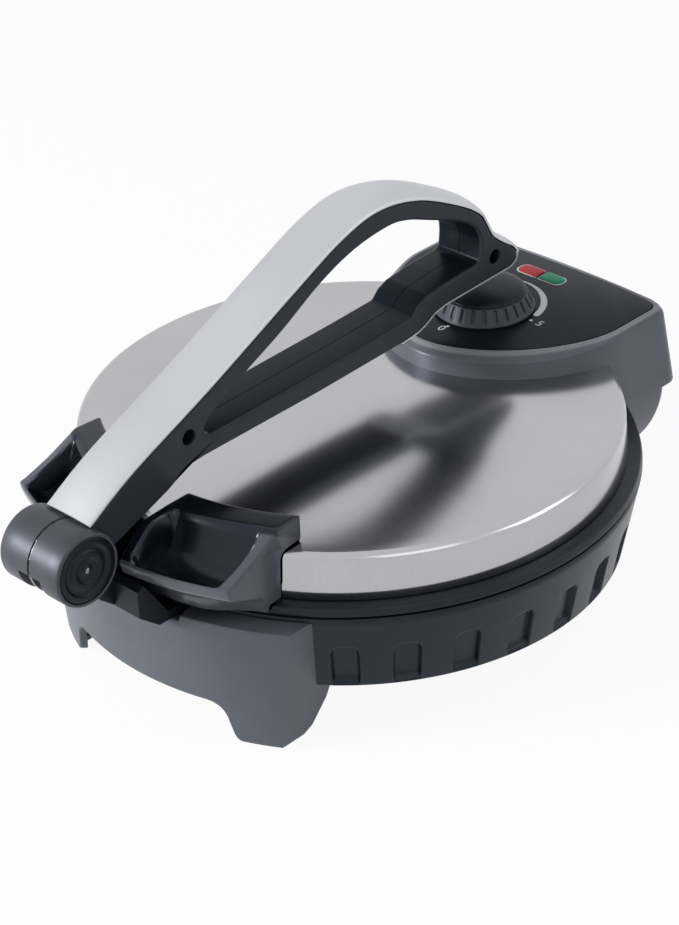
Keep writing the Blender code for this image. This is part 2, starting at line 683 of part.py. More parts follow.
def element_outline(sign):
    """Ring-shaped heating element with a flattened side against the plate."""
    near = PARTING_Z + sign * (PARTING_GAP / 2 + PLATE_THICKNESS + TOUCH_GAP)
    far = near + sign * ELEMENT_HEIGHT
    half = ELEMENT_WIDTH / 2
    quarter = ELEMENT_WIDTH / 4
    middle = (near + far) / 2
    return [
        (ELEMENT_RADIUS - half, near), (ELEMENT_RADIUS + half, near), (ELEMENT_RADIUS + half, middle),
        (ELEMENT_RADIUS + quarter, far), (ELEMENT_RADIUS - quarter, far), (ELEMENT_RADIUS - half, middle),
    ]


def pan_outline(sign):
    """Heat shield: a shallow sheet dish whose flange lies between the plate's skirt and the ledge."""
    near = PARTING_Z + sign * (PARTING_GAP / 2 + PLATE_SKIRT_DEPTH + TOUCH_GAP)
    far = near + sign * SHEET
    drop = sign * PAN_DEPTH
    slope = PAN_FLAT_RADIUS + PAN_SLOPE_RUN
    return [
        (0, near + drop), (PAN_FLAT_RADIUS, near + drop), (slope, near), (PLATE_RADIUS, near),
        (PLATE_RADIUS, far), (slope - SHEET, far), (PAN_FLAT_RADIUS - SHEET, far + drop), (0, far + drop),
    ]


def make_plates(looks, base, lid):
    for side, sign, body in (("lower", -1, base), ("upper", 1, lid)):
        piece(side + "_plate", turned(plate_outline(sign)), looks["plate"], body)
        piece(side + "_element", turned(element_outline(sign), SMALL_STEPS), looks["element"], body)
        pan = piece(side + "_pan", turned(pan_outline(sign), MEDIUM_STEPS), looks["sheet"], body)
        pan.data.shade_flat()


def apron_section(z, radius, half_width, back_y):
    """Plan of the apron at one height: a concentric front arc between two straight sides."""
    corner = math.degrees(math.asin(half_width / radius))
    arc = arc_points((0, 0), radius, -90 - corner, -90 + corner, NOSE_STEPS)
    return [(x, y, z) for x, y in arc + [(half_width, back_y), (-half_width, back_y)]]


def apron_radius(z):
    return APRON_FOOT_RADIUS + (APRON_TOP_RADIUS - APRON_FOOT_RADIUS) * z / APRON_TOP_Z


def apron_half_width(z):
    return APRON_FOOT_HALF_WIDTH + (APRON_TOP_HALF_WIDTH - APRON_FOOT_HALF_WIDTH) * z / APRON_TOP_Z


def apron_solid(low, high, inset, back_y):
    sections = []
    for z in (low, high):
        sections.append(apron_section(z, apron_radius(z) - inset, apron_half_width(z) - inset, back_y))
    return loft(sections)


def make_front_apron(look, base, envelope):
    """Skirt in front of the bowl: deck, leaning walls, arched lower edge and two feet."""
    apron = piece("front_apron", apron_solid(APRON_SOLE_Z, APRON_TOP_Z, 0, APRON_BACK_Y), look, base)
    hollow = apron_solid(APRON_SOLE_Z + APRON_SOLE_THICKNESS, APRON_TOP_Z - WALL, WALL,
                         APRON_BACK_Y + OVERRUN)
    combine(apron, piece("apron_hollow_tool", hollow, look, base), "DIFFERENCE")
    rise = (ARCH_TOP_Z - ARCH_CORNER, ARCH_HALF_WIDTH - ARCH_CORNER)
    arch = [(-ARCH_FOOT_HALF_WIDTH, 0), (ARCH_FOOT_HALF_WIDTH, 0)]
    arch += arc_points((rise[1], rise[0]), ARCH_CORNER, 0, 90, CORNER_STEPS)
    arch += arc_points((-rise[1], rise[0]), ARCH_CORNER, 90, 180, CORNER_STEPS)
    arch_tool = prism(arch, -APRON_TOP_RADIUS - OVERRUN, APRON_BACK_Y + OVERRUN, "Y")
    combine(apron, piece("arch_tool", arch_tool, look, base), "DIFFERENCE")
    back = [
        (FOOT_BACK_Y, 0), (FOOT_BACK_Y, APRON_SOLE_Z), (FOOT_BACK_SLANT_Y, FOOT_BACK_Z),
        (FOOT_BACK_KNEE_Y, FOOT_BACK_KNEE_Z), (APRON_BACK_Y, ARCH_TOP_Z),
        (APRON_BACK_Y + OVERRUN, ARCH_TOP_Z), (APRON_BACK_Y + OVERRUN, 0),
    ]
    reach = APRON_TOP_HALF_WIDTH + OVERRUN
    combine(apron, piece("foot_back_tool", prism(back, -reach, reach, "X"), look, base), "DIFFERENCE")
    combine(apron, envelope, "DIFFERENCE")
    notch = BRACKET_HALF_WIDTH + SLIDE_GAP
    notch_shape = box_shape((-notch, -APRON_TOP_RADIUS - OVERRUN, BRACKET_LOWER_Z - SLIDE_GAP),
                            (notch, -BASE_FOOT_RADIUS, APRON_TOP_Z + OVERRUN))
    combine(apron, piece("notch_tool", notch_shape, look, base), "DIFFERENCE")
    return apron


def make_pads(look, base):
    """Soft discs under the four feet."""
    top = APRON_SOLE_Z - TOUCH_GAP
    front = turned([(0, top), (FRONT_PAD_RADIUS, top), (FRONT_PAD_RADIUS, 0), (0, 0)], SMALL_STEPS)
    rear = turned([(0, top), (REAR_PAD_RADIUS, top), (REAR_PAD_RADIUS, 0), (0, 0)], SMALL_STEPS)
    sides = (-1, 1)
    front_places = [Matrix.Translation((side * FRONT_PAD_X, FRONT_PAD_Y, 0)) for side in sides]
    rear_places = [Matrix.Translation((side * REAR_LEG_X, REAR_LEG_Y, 0)) for side in sides]
    copies(["front_pad_left", "front_pad_right"], front, front_places, look, base)
    copies(["rear_pad_left", "rear_pad_right"], rear, rear_places, look, base)


def rounded_rectangle(half_x, half_y, corner):
    """Outline of a rectangle with rounded corners about the origin."""
    points = []
    for sx, sy, start in ((1, 1, 0), (-1, 1, 90), (-1, -1, 180), (1, -1, 270)):
        centre = (sx * (half_x - corner), sy * (half_y - corner))
        points += arc_points(centre, corner, start, start + 90, 2)
    return points


def make_rear_legs(look, base):
    """Two tapered legs that hold the rear of the bowl level with the apron's feet."""
    sections = []
    sizes = (
        (APRON_SOLE_Z, REAR_LEG_FOOT_WIDTH, REAR_LEG_FOOT_DEPTH),
        (BASE_BOTTOM_Z - TOUCH_GAP, REAR_LEG_TOP_WIDTH, REAR_LEG_TOP_DEPTH),
    )
    for z, width, depth in sizes:
        outline = rounded_rectangle(width / 2, depth / 2, WALL)
        sections.append([(x, y, z) for x, y in outline])
    places = [Matrix.Translation((side * REAR_LEG_X, REAR_LEG_Y, 0)) for side in (-1, 1)]
    return copies(["rear_foot_left", "rear_foot_right"], loft(sections), places, look, base)


def rear_section(z, half_width, front_y, rear_y, bow, corner):
    """Plan with a straight front and a slightly bowed rear with rounded corners."""
    side_rear = rear_y - bow
    right = arc_points((half_width - corner, side_rear - corner), corner, 0, 90, CORNER_STEPS)
    left = [(-x, y) for x, y in reversed(right)]
    plan = [(-half_width, front_y), (half_width, front_y)] + right
    for share in REAR_BOW_SHARES:
        plan.append((share * half_width, rear_y - 2 * bow * share ** 2))
    plan += left
    return [(x, y, z) for x, y in plan]


def housing_solid(low, high, inset, front_y):
    """Rear housing that tucks in towards its lower edge along a quarter ellipse."""
    sections = []
    for i in range(CORNER_STEPS + 1):
        angle = math.pi / 2 * i / CORNER_STEPS
        z = high - (high - low) * math.sin(angle)
        tuck = 1 - math.cos(angle)
        sections.append(rear_section(
            z, HOUSING_HALF_WIDTH - HOUSING_SIDE_TUCK * tuck - inset, front_y,
            HOUSING_REAR_Y - HOUSING_TUCK * tuck - inset, HOUSING_BOW, HOUSING_CORNER))
    return loft(sections)


def knuckle(inner_x, outer_x, radius):
    """Cylinders about the hinge axis, one on each side."""
    circle = circle_points((HINGE_Y, HINGE_Z), radius, SMALL_STEPS)
    shape = prism(circle, inner_x, outer_x, "X")
    mirror = Matrix.Scale(-1, 4, (1, 0, 0))
    both = spread(shape, [Matrix.Identity(4), mirror])
    bmesh.ops.recalc_face_normals(both, faces=both.faces)
    return both


def make_rear_housing(look, base, envelope):
    """Lower rear housing with its two hinge knuckles and the seat of the cord inlet."""
    shape = housing_solid(HOUSING_BOTTOM_Z, HOUSING_TOP_Z, 0, HOUSING_FRONT_Y)
    housing = piece("rear_housing", shape, look, base)
    hollow = housing_solid(HOUSING_BOTTOM_Z + WALL, HOUSING_TOP_Z - WALL, WALL,
                           HOUSING_FRONT_Y - OVERRUN)
    combine(housing, piece("housing_hollow_tool", hollow, look, base), "DIFFERENCE")
    combine(housing, envelope, "DIFFERENCE")
    ears = knuckle(BASE_KNUCKLE_INNER_X - SLIDE_GAP / 2, BASE_KNUCKLE_OUTER_X, KNUCKLE_RADIUS)
    combine(housing, piece("base_knuckle_tool", ears, look, base), "UNION")
    room = knuckle(LID_KNUCKLE_INNER_X - SLIDE_GAP, LID_KNUCKLE_OUTER_X + SLIDE_GAP,
                   KNUCKLE_RADIUS + SLIDE_GAP)
    combine(housing, piece("lid_knuckle_room", room, look, base), "DIFFERENCE")
    bore = knuckle(BASE_KNUCKLE_INNER_X - OVERRUN, BASE_KNUCKLE_OUTER_X + TOUCH_GAP,
                   HINGE_PIN_RADIUS + TOUCH_GAP)
    combine(housing, piece("base_bore_tool", bore, look, base), "DIFFERENCE")
    seat = prism(circle_points((0, INLET_Z), INLET_RADIUS + TOUCH_GAP, SMALL_STEPS),
                 HOUSING_REAR_Y - HOUSING_TUCK, HOUSING_REAR_Y + OVERRUN, "Y")
    combine(housing, piece("inlet_seat_tool", seat, look, base), "DIFFERENCE")
    return housing


def make_hinge_pins(look, base):
    circle = circle_points((HINGE_Y, HINGE_Z), HINGE_PIN_RADIUS, SMALL_STEPS)
    pin = prism(circle, LID_KNUCKLE_INNER_X, BASE_KNUCKLE_OUTER_X, "X")
    across = Matrix.Translation((-LID_KNUCKLE_INNER_X - BASE_KNUCKLE_OUTER_X, 0, 0))
    return copies(["hinge_pin_left", "hinge_pin_right"], pin, [across, Matrix.Identity(4)], look, base)


def make_cord_inlet(look, base):
    """Moulded bush in the rear wall with an open bore."""
    inner = -HOUSING_TUCK / 2
    outer = INLET_REACH
    outline = [
        (INLET_BORE, outer), (INLET_RADIUS - EDGE_ROUND, outer), (INLET_RADIUS, outer - EDGE_ROUND),
        (INLET_RADIUS, inner), (INLET_BORE, inner),
    ]
    shape = turned(outline, SMALL_STEPS)
    backwards = Matrix.Rotation(-math.pi / 2, 4, "X")
    place = Matrix.Translation((0, HOUSING_REAR_Y - INLET_REACH, INLET_Z)) @ backwards
    return piece("cord_inlet", moved(shape, place), look, base)


# Lid


def lid_top_z(radius):
    """Height of the lid's slightly domed top."""
    flat = LID_SHOULDER_RADIUS - LID_SHOULDER_ROUND
    return LID_EDGE_Z + LID_CROWN * (1 - (radius / flat) ** 2)


def lid_profile(offset, foot_z, shares=LID_TOP_SHARES, steps=CORNER_STEPS):
    """Outer profile of the steel cover moved outwards, from the axis down to its edge."""
    flat = LID_SHOULDER_RADIUS - LID_SHOULDER_ROUND
    points = [(flat * share, lid_top_z(flat * share) + offset) for share in shares]
    shoulder = arc_points((flat, LID_EDGE_Z - LID_SHOULDER_ROUND), LID_SHOULDER_ROUND + offset, 90, 0, steps)
    return points + shoulder + [(LID_WALL_RADIUS + offset, foot_z)]


def lid_envelope(offset):
    """Outside of the closed lid grown by an offset, as a tool for what is mounted on it."""
    outline = lid_profile(offset, RING_TOP_Z + offset)
    outline += [(RING_RADIUS + offset, RING_TOP_Z + offset), (RING_RADIUS + offset, LID_FOOT_Z - OVERRUN)]
    outline += [(0, LID_FOOT_Z - OVERRUN)]
    return turned(outline)


def lid_screw_places(radius):
    """Radial screw axes at the rear of the lid, pointing outwards."""
    places = []
    for angle in (90 - LID_SCREW_DEGREES, 90 + LID_SCREW_DEGREES):
        outwards = Matrix.Rotation(-math.pi / 2, 4, "Y")
        places.append(around_z(angle) @ Matrix.Translation((radius, 0, LID_SCREW_Z)) @ outwards)
    return places


def upstand_radius():
    return LID_SHOULDER_RADIUS - SHEET - TOUCH_GAP


def lid_screw_seat():
    return upstand_radius() - UPSTAND_WALL - SLIDE_GAP


def lid_screw_length():
    return RING_RADIUS + WALL - lid_screw_seat()


def lid_bore_tool(name, look, lid):
    bore = turned([(0, SCREW_HEAD_HEIGHT), (SCREW_RADIUS + TOUCH_GAP, SCREW_HEAD_HEIGHT),
                   (SCREW_RADIUS + TOUCH_GAP, -lid_screw_length() - OVERRUN),
                   (0, -lid_screw_length() - OVERRUN)], SCREW_STEPS)
    return piece(name, spread(bore, lid_screw_places(lid_screw_seat())), look, lid)


def make_lid_ring(look, lid):
    """Ring that holds the upper plate and carries the edge of the steel cover."""
    well = PLATE_RADIUS + TOUCH_GAP * 2
    ledge = LID_FOOT_Z + PLATE_SKIRT_DEPTH + SHEET + TOUCH_GAP * 2
    floor = LID_FOOT_Z + RING_FLOOR
    upstand = upstand_radius()
    upstand_z = RING_TOP_Z + UPSTAND_HEIGHT
    outline = [
        (well, LID_FOOT_Z), (RING_RADIUS - RIM_EDGE, LID_FOOT_Z), (RING_RADIUS, LID_FOOT_Z + RIM_EDGE),
        (RING_RADIUS - RING_STEP, RING_TOP_Z - RIM_EDGE), (RING_RADIUS - RING_STEP - RIM_EDGE, RING_TOP_Z),
        (upstand, RING_TOP_Z), (upstand, upstand_z), (upstand - UPSTAND_WALL, upstand_z),
        (upstand - UPSTAND_WALL, floor), (well + LEDGE_WALL, floor), (well + LEDGE_WALL, ledge + LEDGE_WALL),
        (well - LEDGE_REACH, ledge + LEDGE_WALL), (well - LEDGE_REACH, ledge), (well, ledge),
    ]
    ring = piece("lid_ring", turned(outline), look, lid)
    combine(ring, lid_bore_tool("ring_bore_tool", look, lid), "DIFFERENCE")
    return ring


def thermostat_hole():
    low = LID_FOOT_Z
    radius = THERMOSTAT_RADIUS + SLIDE_GAP
    return prism(circle_points((0, KNOB_Y), radius, SMALL_STEPS), low, THERMOSTAT_TOP_Z, "Z")


def make_lid_cover(look, lid):
    """Spun steel cover with a rounded shoulder and a hole for the thermostat."""
    foot_z = RING_TOP_Z + TOUCH_GAP
    inside = lid_profile(-SHEET, foot_z, LID_UNDER_SHARES, 2)
    outline = lid_profile(0, foot_z) + list(reversed(inside))
    cover = piece("lid_cover", turned(outline), look, lid)
    combine(cover, piece("cover_thermostat_tool", thermostat_hole(), look, lid), "DIFFERENCE")
    combine(cover, lid_bore_tool("cover_bore_tool", look, lid), "DIFFERENCE")
    return cover


def make_lid_screws(look, lid):
    shape = screw(lid_screw_length() - SCREW_RADIUS)
    return copies(["lid_screw_right", "lid_screw_left"], shape, lid_screw_places(lid_screw_seat()), look, lid)


def grip_underside():
    """Seat of a grip, from its foot inwards over the ring, up the lid's wall and onto its top."""
    shoulder = arc_points((LID_SHOULDER_RADIUS - LID_SHOULDER_ROUND, LID_EDGE_Z - LID_SHOULDER_ROUND),
                          LID_SHOULDER_ROUND + TOUCH_GAP, 0, 90, CORNER_STEPS)
    foot_z = LID_FOOT_Z + TOUCH_GAP
    ring = RING_RADIUS + TOUCH_GAP
    return [
        (GRIP_FOOT_RADIUS, foot_z), (ring, foot_z), (ring, RING_TOP_Z + TOUCH_GAP),
        (LID_WALL_RADIUS + TOUCH_GAP, RING_TOP_Z + TOUCH_GAP),
    ] + shoulder + [(GRIP_RIDGE_INNER_RADIUS, lid_top_z(GRIP_RIDGE_INNER_RADIUS) + TOUCH_GAP)]


def grip_top(shares):
    """Top of a grip from the ridge to the lip; shares of the run and of the scoop's depth."""
    run = GRIP_LIP_RADIUS - GRIP_RIDGE_OUTER_RADIUS
    depth = GRIP_RIDGE_Z - GRIP_SCOOP_Z
    inner = [
        (GRIP_RIDGE_INNER_RADIUS, GRIP_RIDGE_Z - GRIP_EDGE * 2),
        (GRIP_RIDGE_INNER_RADIUS + GRIP_EDGE, GRIP_RIDGE_Z - GRIP_EDGE / 2),
    ]
    top = [(GRIP_RIDGE_OUTER_RADIUS + run * u, GRIP_RIDGE_Z - depth * v) for u, v in shares]
    lip = [
        (GRIP_LIP_RADIUS - GRIP_EDGE, GRIP_LIP_Z), (GRIP_LIP_RADIUS - GRIP_EDGE / 4, GRIP_LIP_Z),
        (GRIP_LIP_RADIUS, GRIP_LIP_Z - GRIP_EDGE),
    ]
    return inner + top + lip


def grip_section(x, shares, side):
    """Section of a grip near one distance from the lever, slanted a little towards its rear."""
    slant = math.tan(math.radians(GRIP_END_SLANT_DEGREES)) * x / GRIP_OUTER_X
    section = []
    for radius, z in grip_top(shares) + grip_underside():
        back = GRIP_LIP_RADIUS - math.sqrt(radius ** 2 - x ** 2)
        place = x - slant * (back - GRIP_END_SETBACK)
        section.append((side * place, -math.sqrt(radius ** 2 - place ** 2), z))
    return section


# Run and depth shares of the scoop, and of the two cheeks that close it at its ends
SCOOP_SHARES = ((0, 0), (0.07, 0.14), (0.16, 0.52), (0.30, 0.86), (0.52, 1.00), (0.74, 0.95), (0.90, 0.77))
INNER_CHEEK_SHARES = (
    (0, 0), (0.12, 0.01), (0.24, 0.02), (0.36, 0.03), (0.48, 0.05), (0.60, 0.16), (0.93, 0.62),
)
OUTER_CHEEK_SHARES = (
    (0, 0), (0.08, 0.08), (0.20, 0.18), (0.34, 0.30), (0.52, 0.44), (0.74, 0.58), (0.90, 0.68),
)


def make_grips(look, lid):
    """Scooped lid grips, one on each side of the lever, closed by a cheek at each end."""
    scoop_start = GRIP_INNER_X + CHEEK_WIDTH + GRIP_EDGE
    scoop_end = GRIP_OUTER_X - CHEEK_WIDTH
    for name, side in (("grip_right", 1), ("grip_left", -1)):
        stations = [(GRIP_INNER_X, INNER_CHEEK_SHARES), (GRIP_INNER_X + CHEEK_WIDTH, INNER_CHEEK_SHARES)]
        for i in range(CORNER_STEPS + 1):
            stations.append((scoop_start + (scoop_end - scoop_start) * i / CORNER_STEPS, SCOOP_SHARES))
        stations += [(scoop_end + GRIP_EDGE, OUTER_CHEEK_SHARES), (GRIP_OUTER_X, OUTER_CHEEK_SHARES)]
        piece(name, loft([grip_section(x, shares, side) for x, shares in stations]), look, lid)


def signed_power(value, power):
    return math.copysign(abs(value) ** power, value)


def box_section(z, half_width, nose, rear_y, power, inset):
    """Plan of the control box: a pointed superellipse nose and a bowed rear edge."""
    half = half_width - inset
    reach = nose - inset
    rear = rear_y - inset
    side_rear = rear - BOX_REAR_BOW
    right = arc_points((half - BOX_CORNER, side_rear - BOX_CORNER), BOX_CORNER, 0, 90, CORNER_STEPS)
    middle = [(half * share, rear - BOX_REAR_BOW * share ** 2) for share in REAR_BOW_SHARES]
    left = [(-x, y) for x, y in reversed(right)]
    front = []
    for i in range(NOSE_STEPS + 1):
        angle = math.pi * (1 + i / NOSE_STEPS)
        front.append((half * signed_power(math.cos(angle), 2 / power),
                      BOX_CENTRE_Y + reach * signed_power(math.sin(angle), 2 / power)))
    return [(x, y, z) for x, y in right + middle + left + front]


def box_top_section(z, inset):
    return box_section(z, BOX_TOP_HALF_WIDTH, BOX_TOP_NOSE, BOX_TOP_REAR_Y, NOSE_POWER_TOP, inset)


def box_edge_section(z, inset):
    return box_section(z, BOX_EDGE_HALF_WIDTH, BOX_EDGE_NOSE, BOX_EDGE_REAR_Y, NOSE_POWER_EDGE, inset)


def box_foot_section(z, inset):
    return box_section(z, BOX_FOOT_HALF_WIDTH, BOX_FOOT_NOSE, BOX_REAR_Y, NOSE_POWER_EDGE, inset)


def make_control_box(look, lid):
    """Housing that saddles the rear of the lid, with a ledge for the panel and two lid knuckles."""
    edge_z = BOX_TOP_Z - BOX_BEVEL_DROP
    outer = loft([
        box_foot_section(LID_FOOT_Z, 0), box_edge_section(edge_z, 0), box_top_section(BOX_TOP_Z, 0),
    ])
    box = piece("control_box", outer, look, lid)
    seat_z = BOX_TOP_Z - PANEL_THICKNESS - TOUCH_GAP
    neck = PANEL_RIM + PANEL_LEDGE
    cavity = piece("box_cavity_tool", loft([
        box_foot_section(LID_FOOT_Z + BOX_FLOOR, BOX_WALL), box_edge_section(seat_z - BOX_FLOOR, BOX_WALL),
        box_top_section(seat_z - BOX_FLOOR, neck), box_top_section(seat_z, neck),
        box_top_section(seat_z, PANEL_RIM), box_top_section(BOX_TOP_Z + OVERRUN, PANEL_RIM),
    ]), look, lid)
    combine(cavity, piece("box_saddle_tool", lid_envelope(TOUCH_GAP + BOX_WALL), look, lid), "DIFFERENCE")
    combine(box, cavity, "DIFFERENCE")
    combine(box, piece("box_seat_tool", lid_envelope(TOUCH_GAP), look, lid), "DIFFERENCE")
    combine(box, piece("box_thermostat_tool", thermostat_hole(), look, lid), "DIFFERENCE")
    ears = knuckle(LID_KNUCKLE_INNER_X, LID_KNUCKLE_OUTER_X + SLIDE_GAP / 2, KNUCKLE_RADIUS)
    combine(box, piece("lid_knuckle_tool", ears, look, lid), "UNION")
    room = knuckle(BASE_KNUCKLE_INNER_X - SLIDE_GAP, BASE_KNUCKLE_OUTER_X + SLIDE_GAP,
                   KNUCKLE_RADIUS + SLIDE_GAP)
    combine(box, piece("base_knuckle_room", room, look, lid), "DIFFERENCE")
    bore = knuckle(LID_KNUCKLE_INNER_X - TOUCH_GAP, LID_KNUCKLE_OUTER_X + TOUCH_GAP,
                   HINGE_PIN_RADIUS + TOUCH_GAP)
    combine(box, piece("lid_bore_tool", bore, look, lid), "DIFFERENCE")
    combine(box, lid_bore_tool("box_bore_tool", look, lid), "DIFFERENCE")
    return box


def lens_outline(x, grow):
    outline = rounded_rectangle(LENS_WIDTH / 2 + grow, LENS_DEPTH / 2 + grow, LENS_CORNER + grow)
    return [(x + px, LENS_Y + py) for px, py in outline]


def lens_windows(low, high, grow):
    """Cutters around both lamp lenses."""
    window = prism(lens_outline(0, grow), low, high, "Z")
    return spread(window, [Matrix.Translation((x, 0, 0)) for x in (POWER_LENS_X, READY_LENS_X)])


def make_control_panel(look, lid):
    """Panel that drops into the top of the box, with a shaft hole and two windows."""
    low = BOX_TOP_Z - PANEL_THICKNESS
    inset = PANEL_RIM + TOUCH_GAP
    panel = piece("control_panel", loft([box_top_section(low, inset), box_top_section(BOX_TOP_Z, inset)]),
                  look, lid)
    hole = prism(circle_points((0, KNOB_Y), SHAFT_RADIUS + SLIDE_GAP, SMALL_STEPS), low - OVERRUN,
                 BOX_TOP_Z + OVERRUN, "Z")
    combine(panel, piece("panel_hole_tool", hole, look, lid), "DIFFERENCE")
    windows = lens_windows(low - OVERRUN, BOX_TOP_Z + OVERRUN, TOUCH_GAP)
    combine(panel, piece("panel_window_tool", windows, look, lid), "DIFFERENCE")
    return panel


def make_lamps(looks, lid):
    """Two lenses and the tray that holds them under the panel."""
    foot = BOX_TOP_Z - LENS_HEIGHT
    top = BOX_TOP_Z + LENS_PROUD
    for name, x in (("power_lens", POWER_LENS_X), ("ready_lens", READY_LENS_X)):
        sections = []
        for z, grow in ((foot, 0), (top - LENS_PROUD, 0), (top, -LENS_PROUD)):
            sections.append([(px, py, z) for px, py in lens_outline(x, grow)])
        piece(name, loft(sections), looks[name], lid)
    middle = (POWER_LENS_X + READY_LENS_X) / 2
    half_x = (READY_LENS_X - POWER_LENS_X + LENS_WIDTH) / 2 + LAMP_HOLDER_BORDER
    half_y = LENS_DEPTH / 2 + LAMP_HOLDER_BORDER
    outline = [(middle + x, LENS_Y + y) for x, y in rounded_rectangle(half_x, half_y, LENS_CORNER)]
    holder_top = BOX_TOP_Z - PANEL_THICKNESS - TOUCH_GAP
    holder = piece("lamp_holder", prism(outline, holder_top - LAMP_HOLDER_HEIGHT, holder_top, "Z"),
                   looks["dark_plastic"], lid)
    pockets = lens_windows(foot - TOUCH_GAP, holder_top + OVERRUN, TOUCH_GAP)
    combine(holder, piece("lamp_pocket_tool", pockets, looks["dark_plastic"], lid), "DIFFERENCE")


def make_thermostat(look, lid):
    """Thermostat body that stands on the heat shield under the knob."""
    foot = PARTING_Z + PARTING_GAP / 2 + PLATE_SKIRT_DEPTH + SHEET + PAN_DEPTH + TOUCH_GAP * 2
    step_z = THERMOSTAT_TOP_Z - THERMOSTAT_RADIUS / 6
    outline = [
        (0, THERMOSTAT_TOP_Z), (THERMOSTAT_RADIUS / 2, THERMOSTAT_TOP_Z), (THERMOSTAT_RADIUS / 2, step_z),
        (THERMOSTAT_RADIUS, step_z), (THERMOSTAT_RADIUS, foot), (0, foot),
    ]
    shape = moved(turned(outline, SMALL_STEPS), Matrix.Translation((0, KNOB_Y, 0)))
    return piece("thermostat", shape, look, lid)


def knob_ring(z, radius, groove):
    """One ring of the knob; the radius drops by the groove's depth between the ribs."""
    points = []
    for i in range(KNOB_RIBS * 3):
        angle = 2 * math.pi * i / (KNOB_RIBS * 3)
        reach = radius - groove if i % 3 == 2 else radius
        points.append((reach * math.cos(angle), KNOB_Y + reach * math.sin(angle), z))
    return points


def make_knob(looks, knob):
    """Ribbed temperature knob with a coned top, hollow below, on its shaft."""
    foot = BOX_TOP_Z + KNOB_LIFT
    top = foot + KNOB_HEIGHT
    rib_top = foot + KNOB_RIB_HEIGHT
    shape = loft([
        knob_ring(foot, KNOB_RADIUS - EDGE_ROUND, 0),
        knob_ring(foot + EDGE_ROUND, KNOB_RADIUS, KNOB_GROOVE_DEPTH),
        knob_ring(rib_top, KNOB_SHOULDER_RADIUS, KNOB_GROOVE_DEPTH),
        knob_ring(rib_top + EDGE_ROUND, KNOB_SHOULDER_RADIUS - EDGE_ROUND, 0),
        knob_ring(top, KNOB_TOP_RADIUS, 0),
    ])
    item = piece("knob", shape, looks["knob"], knob)
    boss = SHAFT_RADIUS + KNOB_WALL
    inner = KNOB_RADIUS - KNOB_GROOVE_DEPTH - KNOB_WALL
    shoulder = KNOB_SHOULDER_RADIUS - KNOB_GROOVE_DEPTH - KNOB_WALL
    hollow = turned([
        (boss, foot - OVERRUN), (inner, foot - OVERRUN), (inner, foot), (shoulder, rib_top - KNOB_WALL),
        (boss, rib_top - KNOB_WALL),
    ], SMALL_STEPS)
    place = Matrix.Translation((0, KNOB_Y, 0))
    combine(item, piece("knob_hollow_tool", moved(hollow, place), looks["knob"], knob), "DIFFERENCE")
    bore_top = top - KNOB_WALL
    circle = circle_points((0, KNOB_Y), SHAFT_RADIUS + TOUCH_GAP, SMALL_STEPS)
    bore = prism(circle, foot - OVERRUN, bore_top, "Z")
    combine(item, piece("knob_bore_tool", bore, looks["knob"], knob), "DIFFERENCE")
    shaft_foot = THERMOSTAT_TOP_Z + TOUCH_GAP
    shaft_top = bore_top - TOUCH_GAP
    shaft = prism(circle_points((0, KNOB_Y), SHAFT_RADIUS, SMALL_STEPS), shaft_foot, shaft_top, "Z")
    piece("knob_shaft", shaft, looks["steel"], knob)


# Lever


def lever_point(share):
    """Place in the lever's side view from shares of its reach and rise."""
    return (HUB_Y + share[0] * LEVER_REACH, HUB_Z + share[1] * LEVER_RISE)


def outline_area(points):
    return sum(a[0] * b[1] - b[0] * a[1] for a, b in zip(points, points[1:] + points[:1])) / 2


def grown(points, distance):
    """Outline moved outwards by a distance, mitred at its corners."""
    turn = 1 if outline_area(points) > 0 else -1
    result = []
    count = len(points)
    for i in range(count):
        before, here, after = [Vector(points[(i + k) % count]) for k in (-1, 0, 1)]
        first = (here - before).normalized()
        second = (after - here).normalized()
        sides = [Vector((part.y, -part.x)) * turn for part in (first, second)]
        mitre = (sides[0] + sides[1]) / (1 + sides[0].dot(sides[1]))
        result.append(tuple(here + mitre * distance))
    return result


def side_section(points, x):
    return [(x, y, z) for y, z in points]


def lever_back():
    return smooth_points([lever_point(share) for share in LEVER_BACK_SHARES], 2)


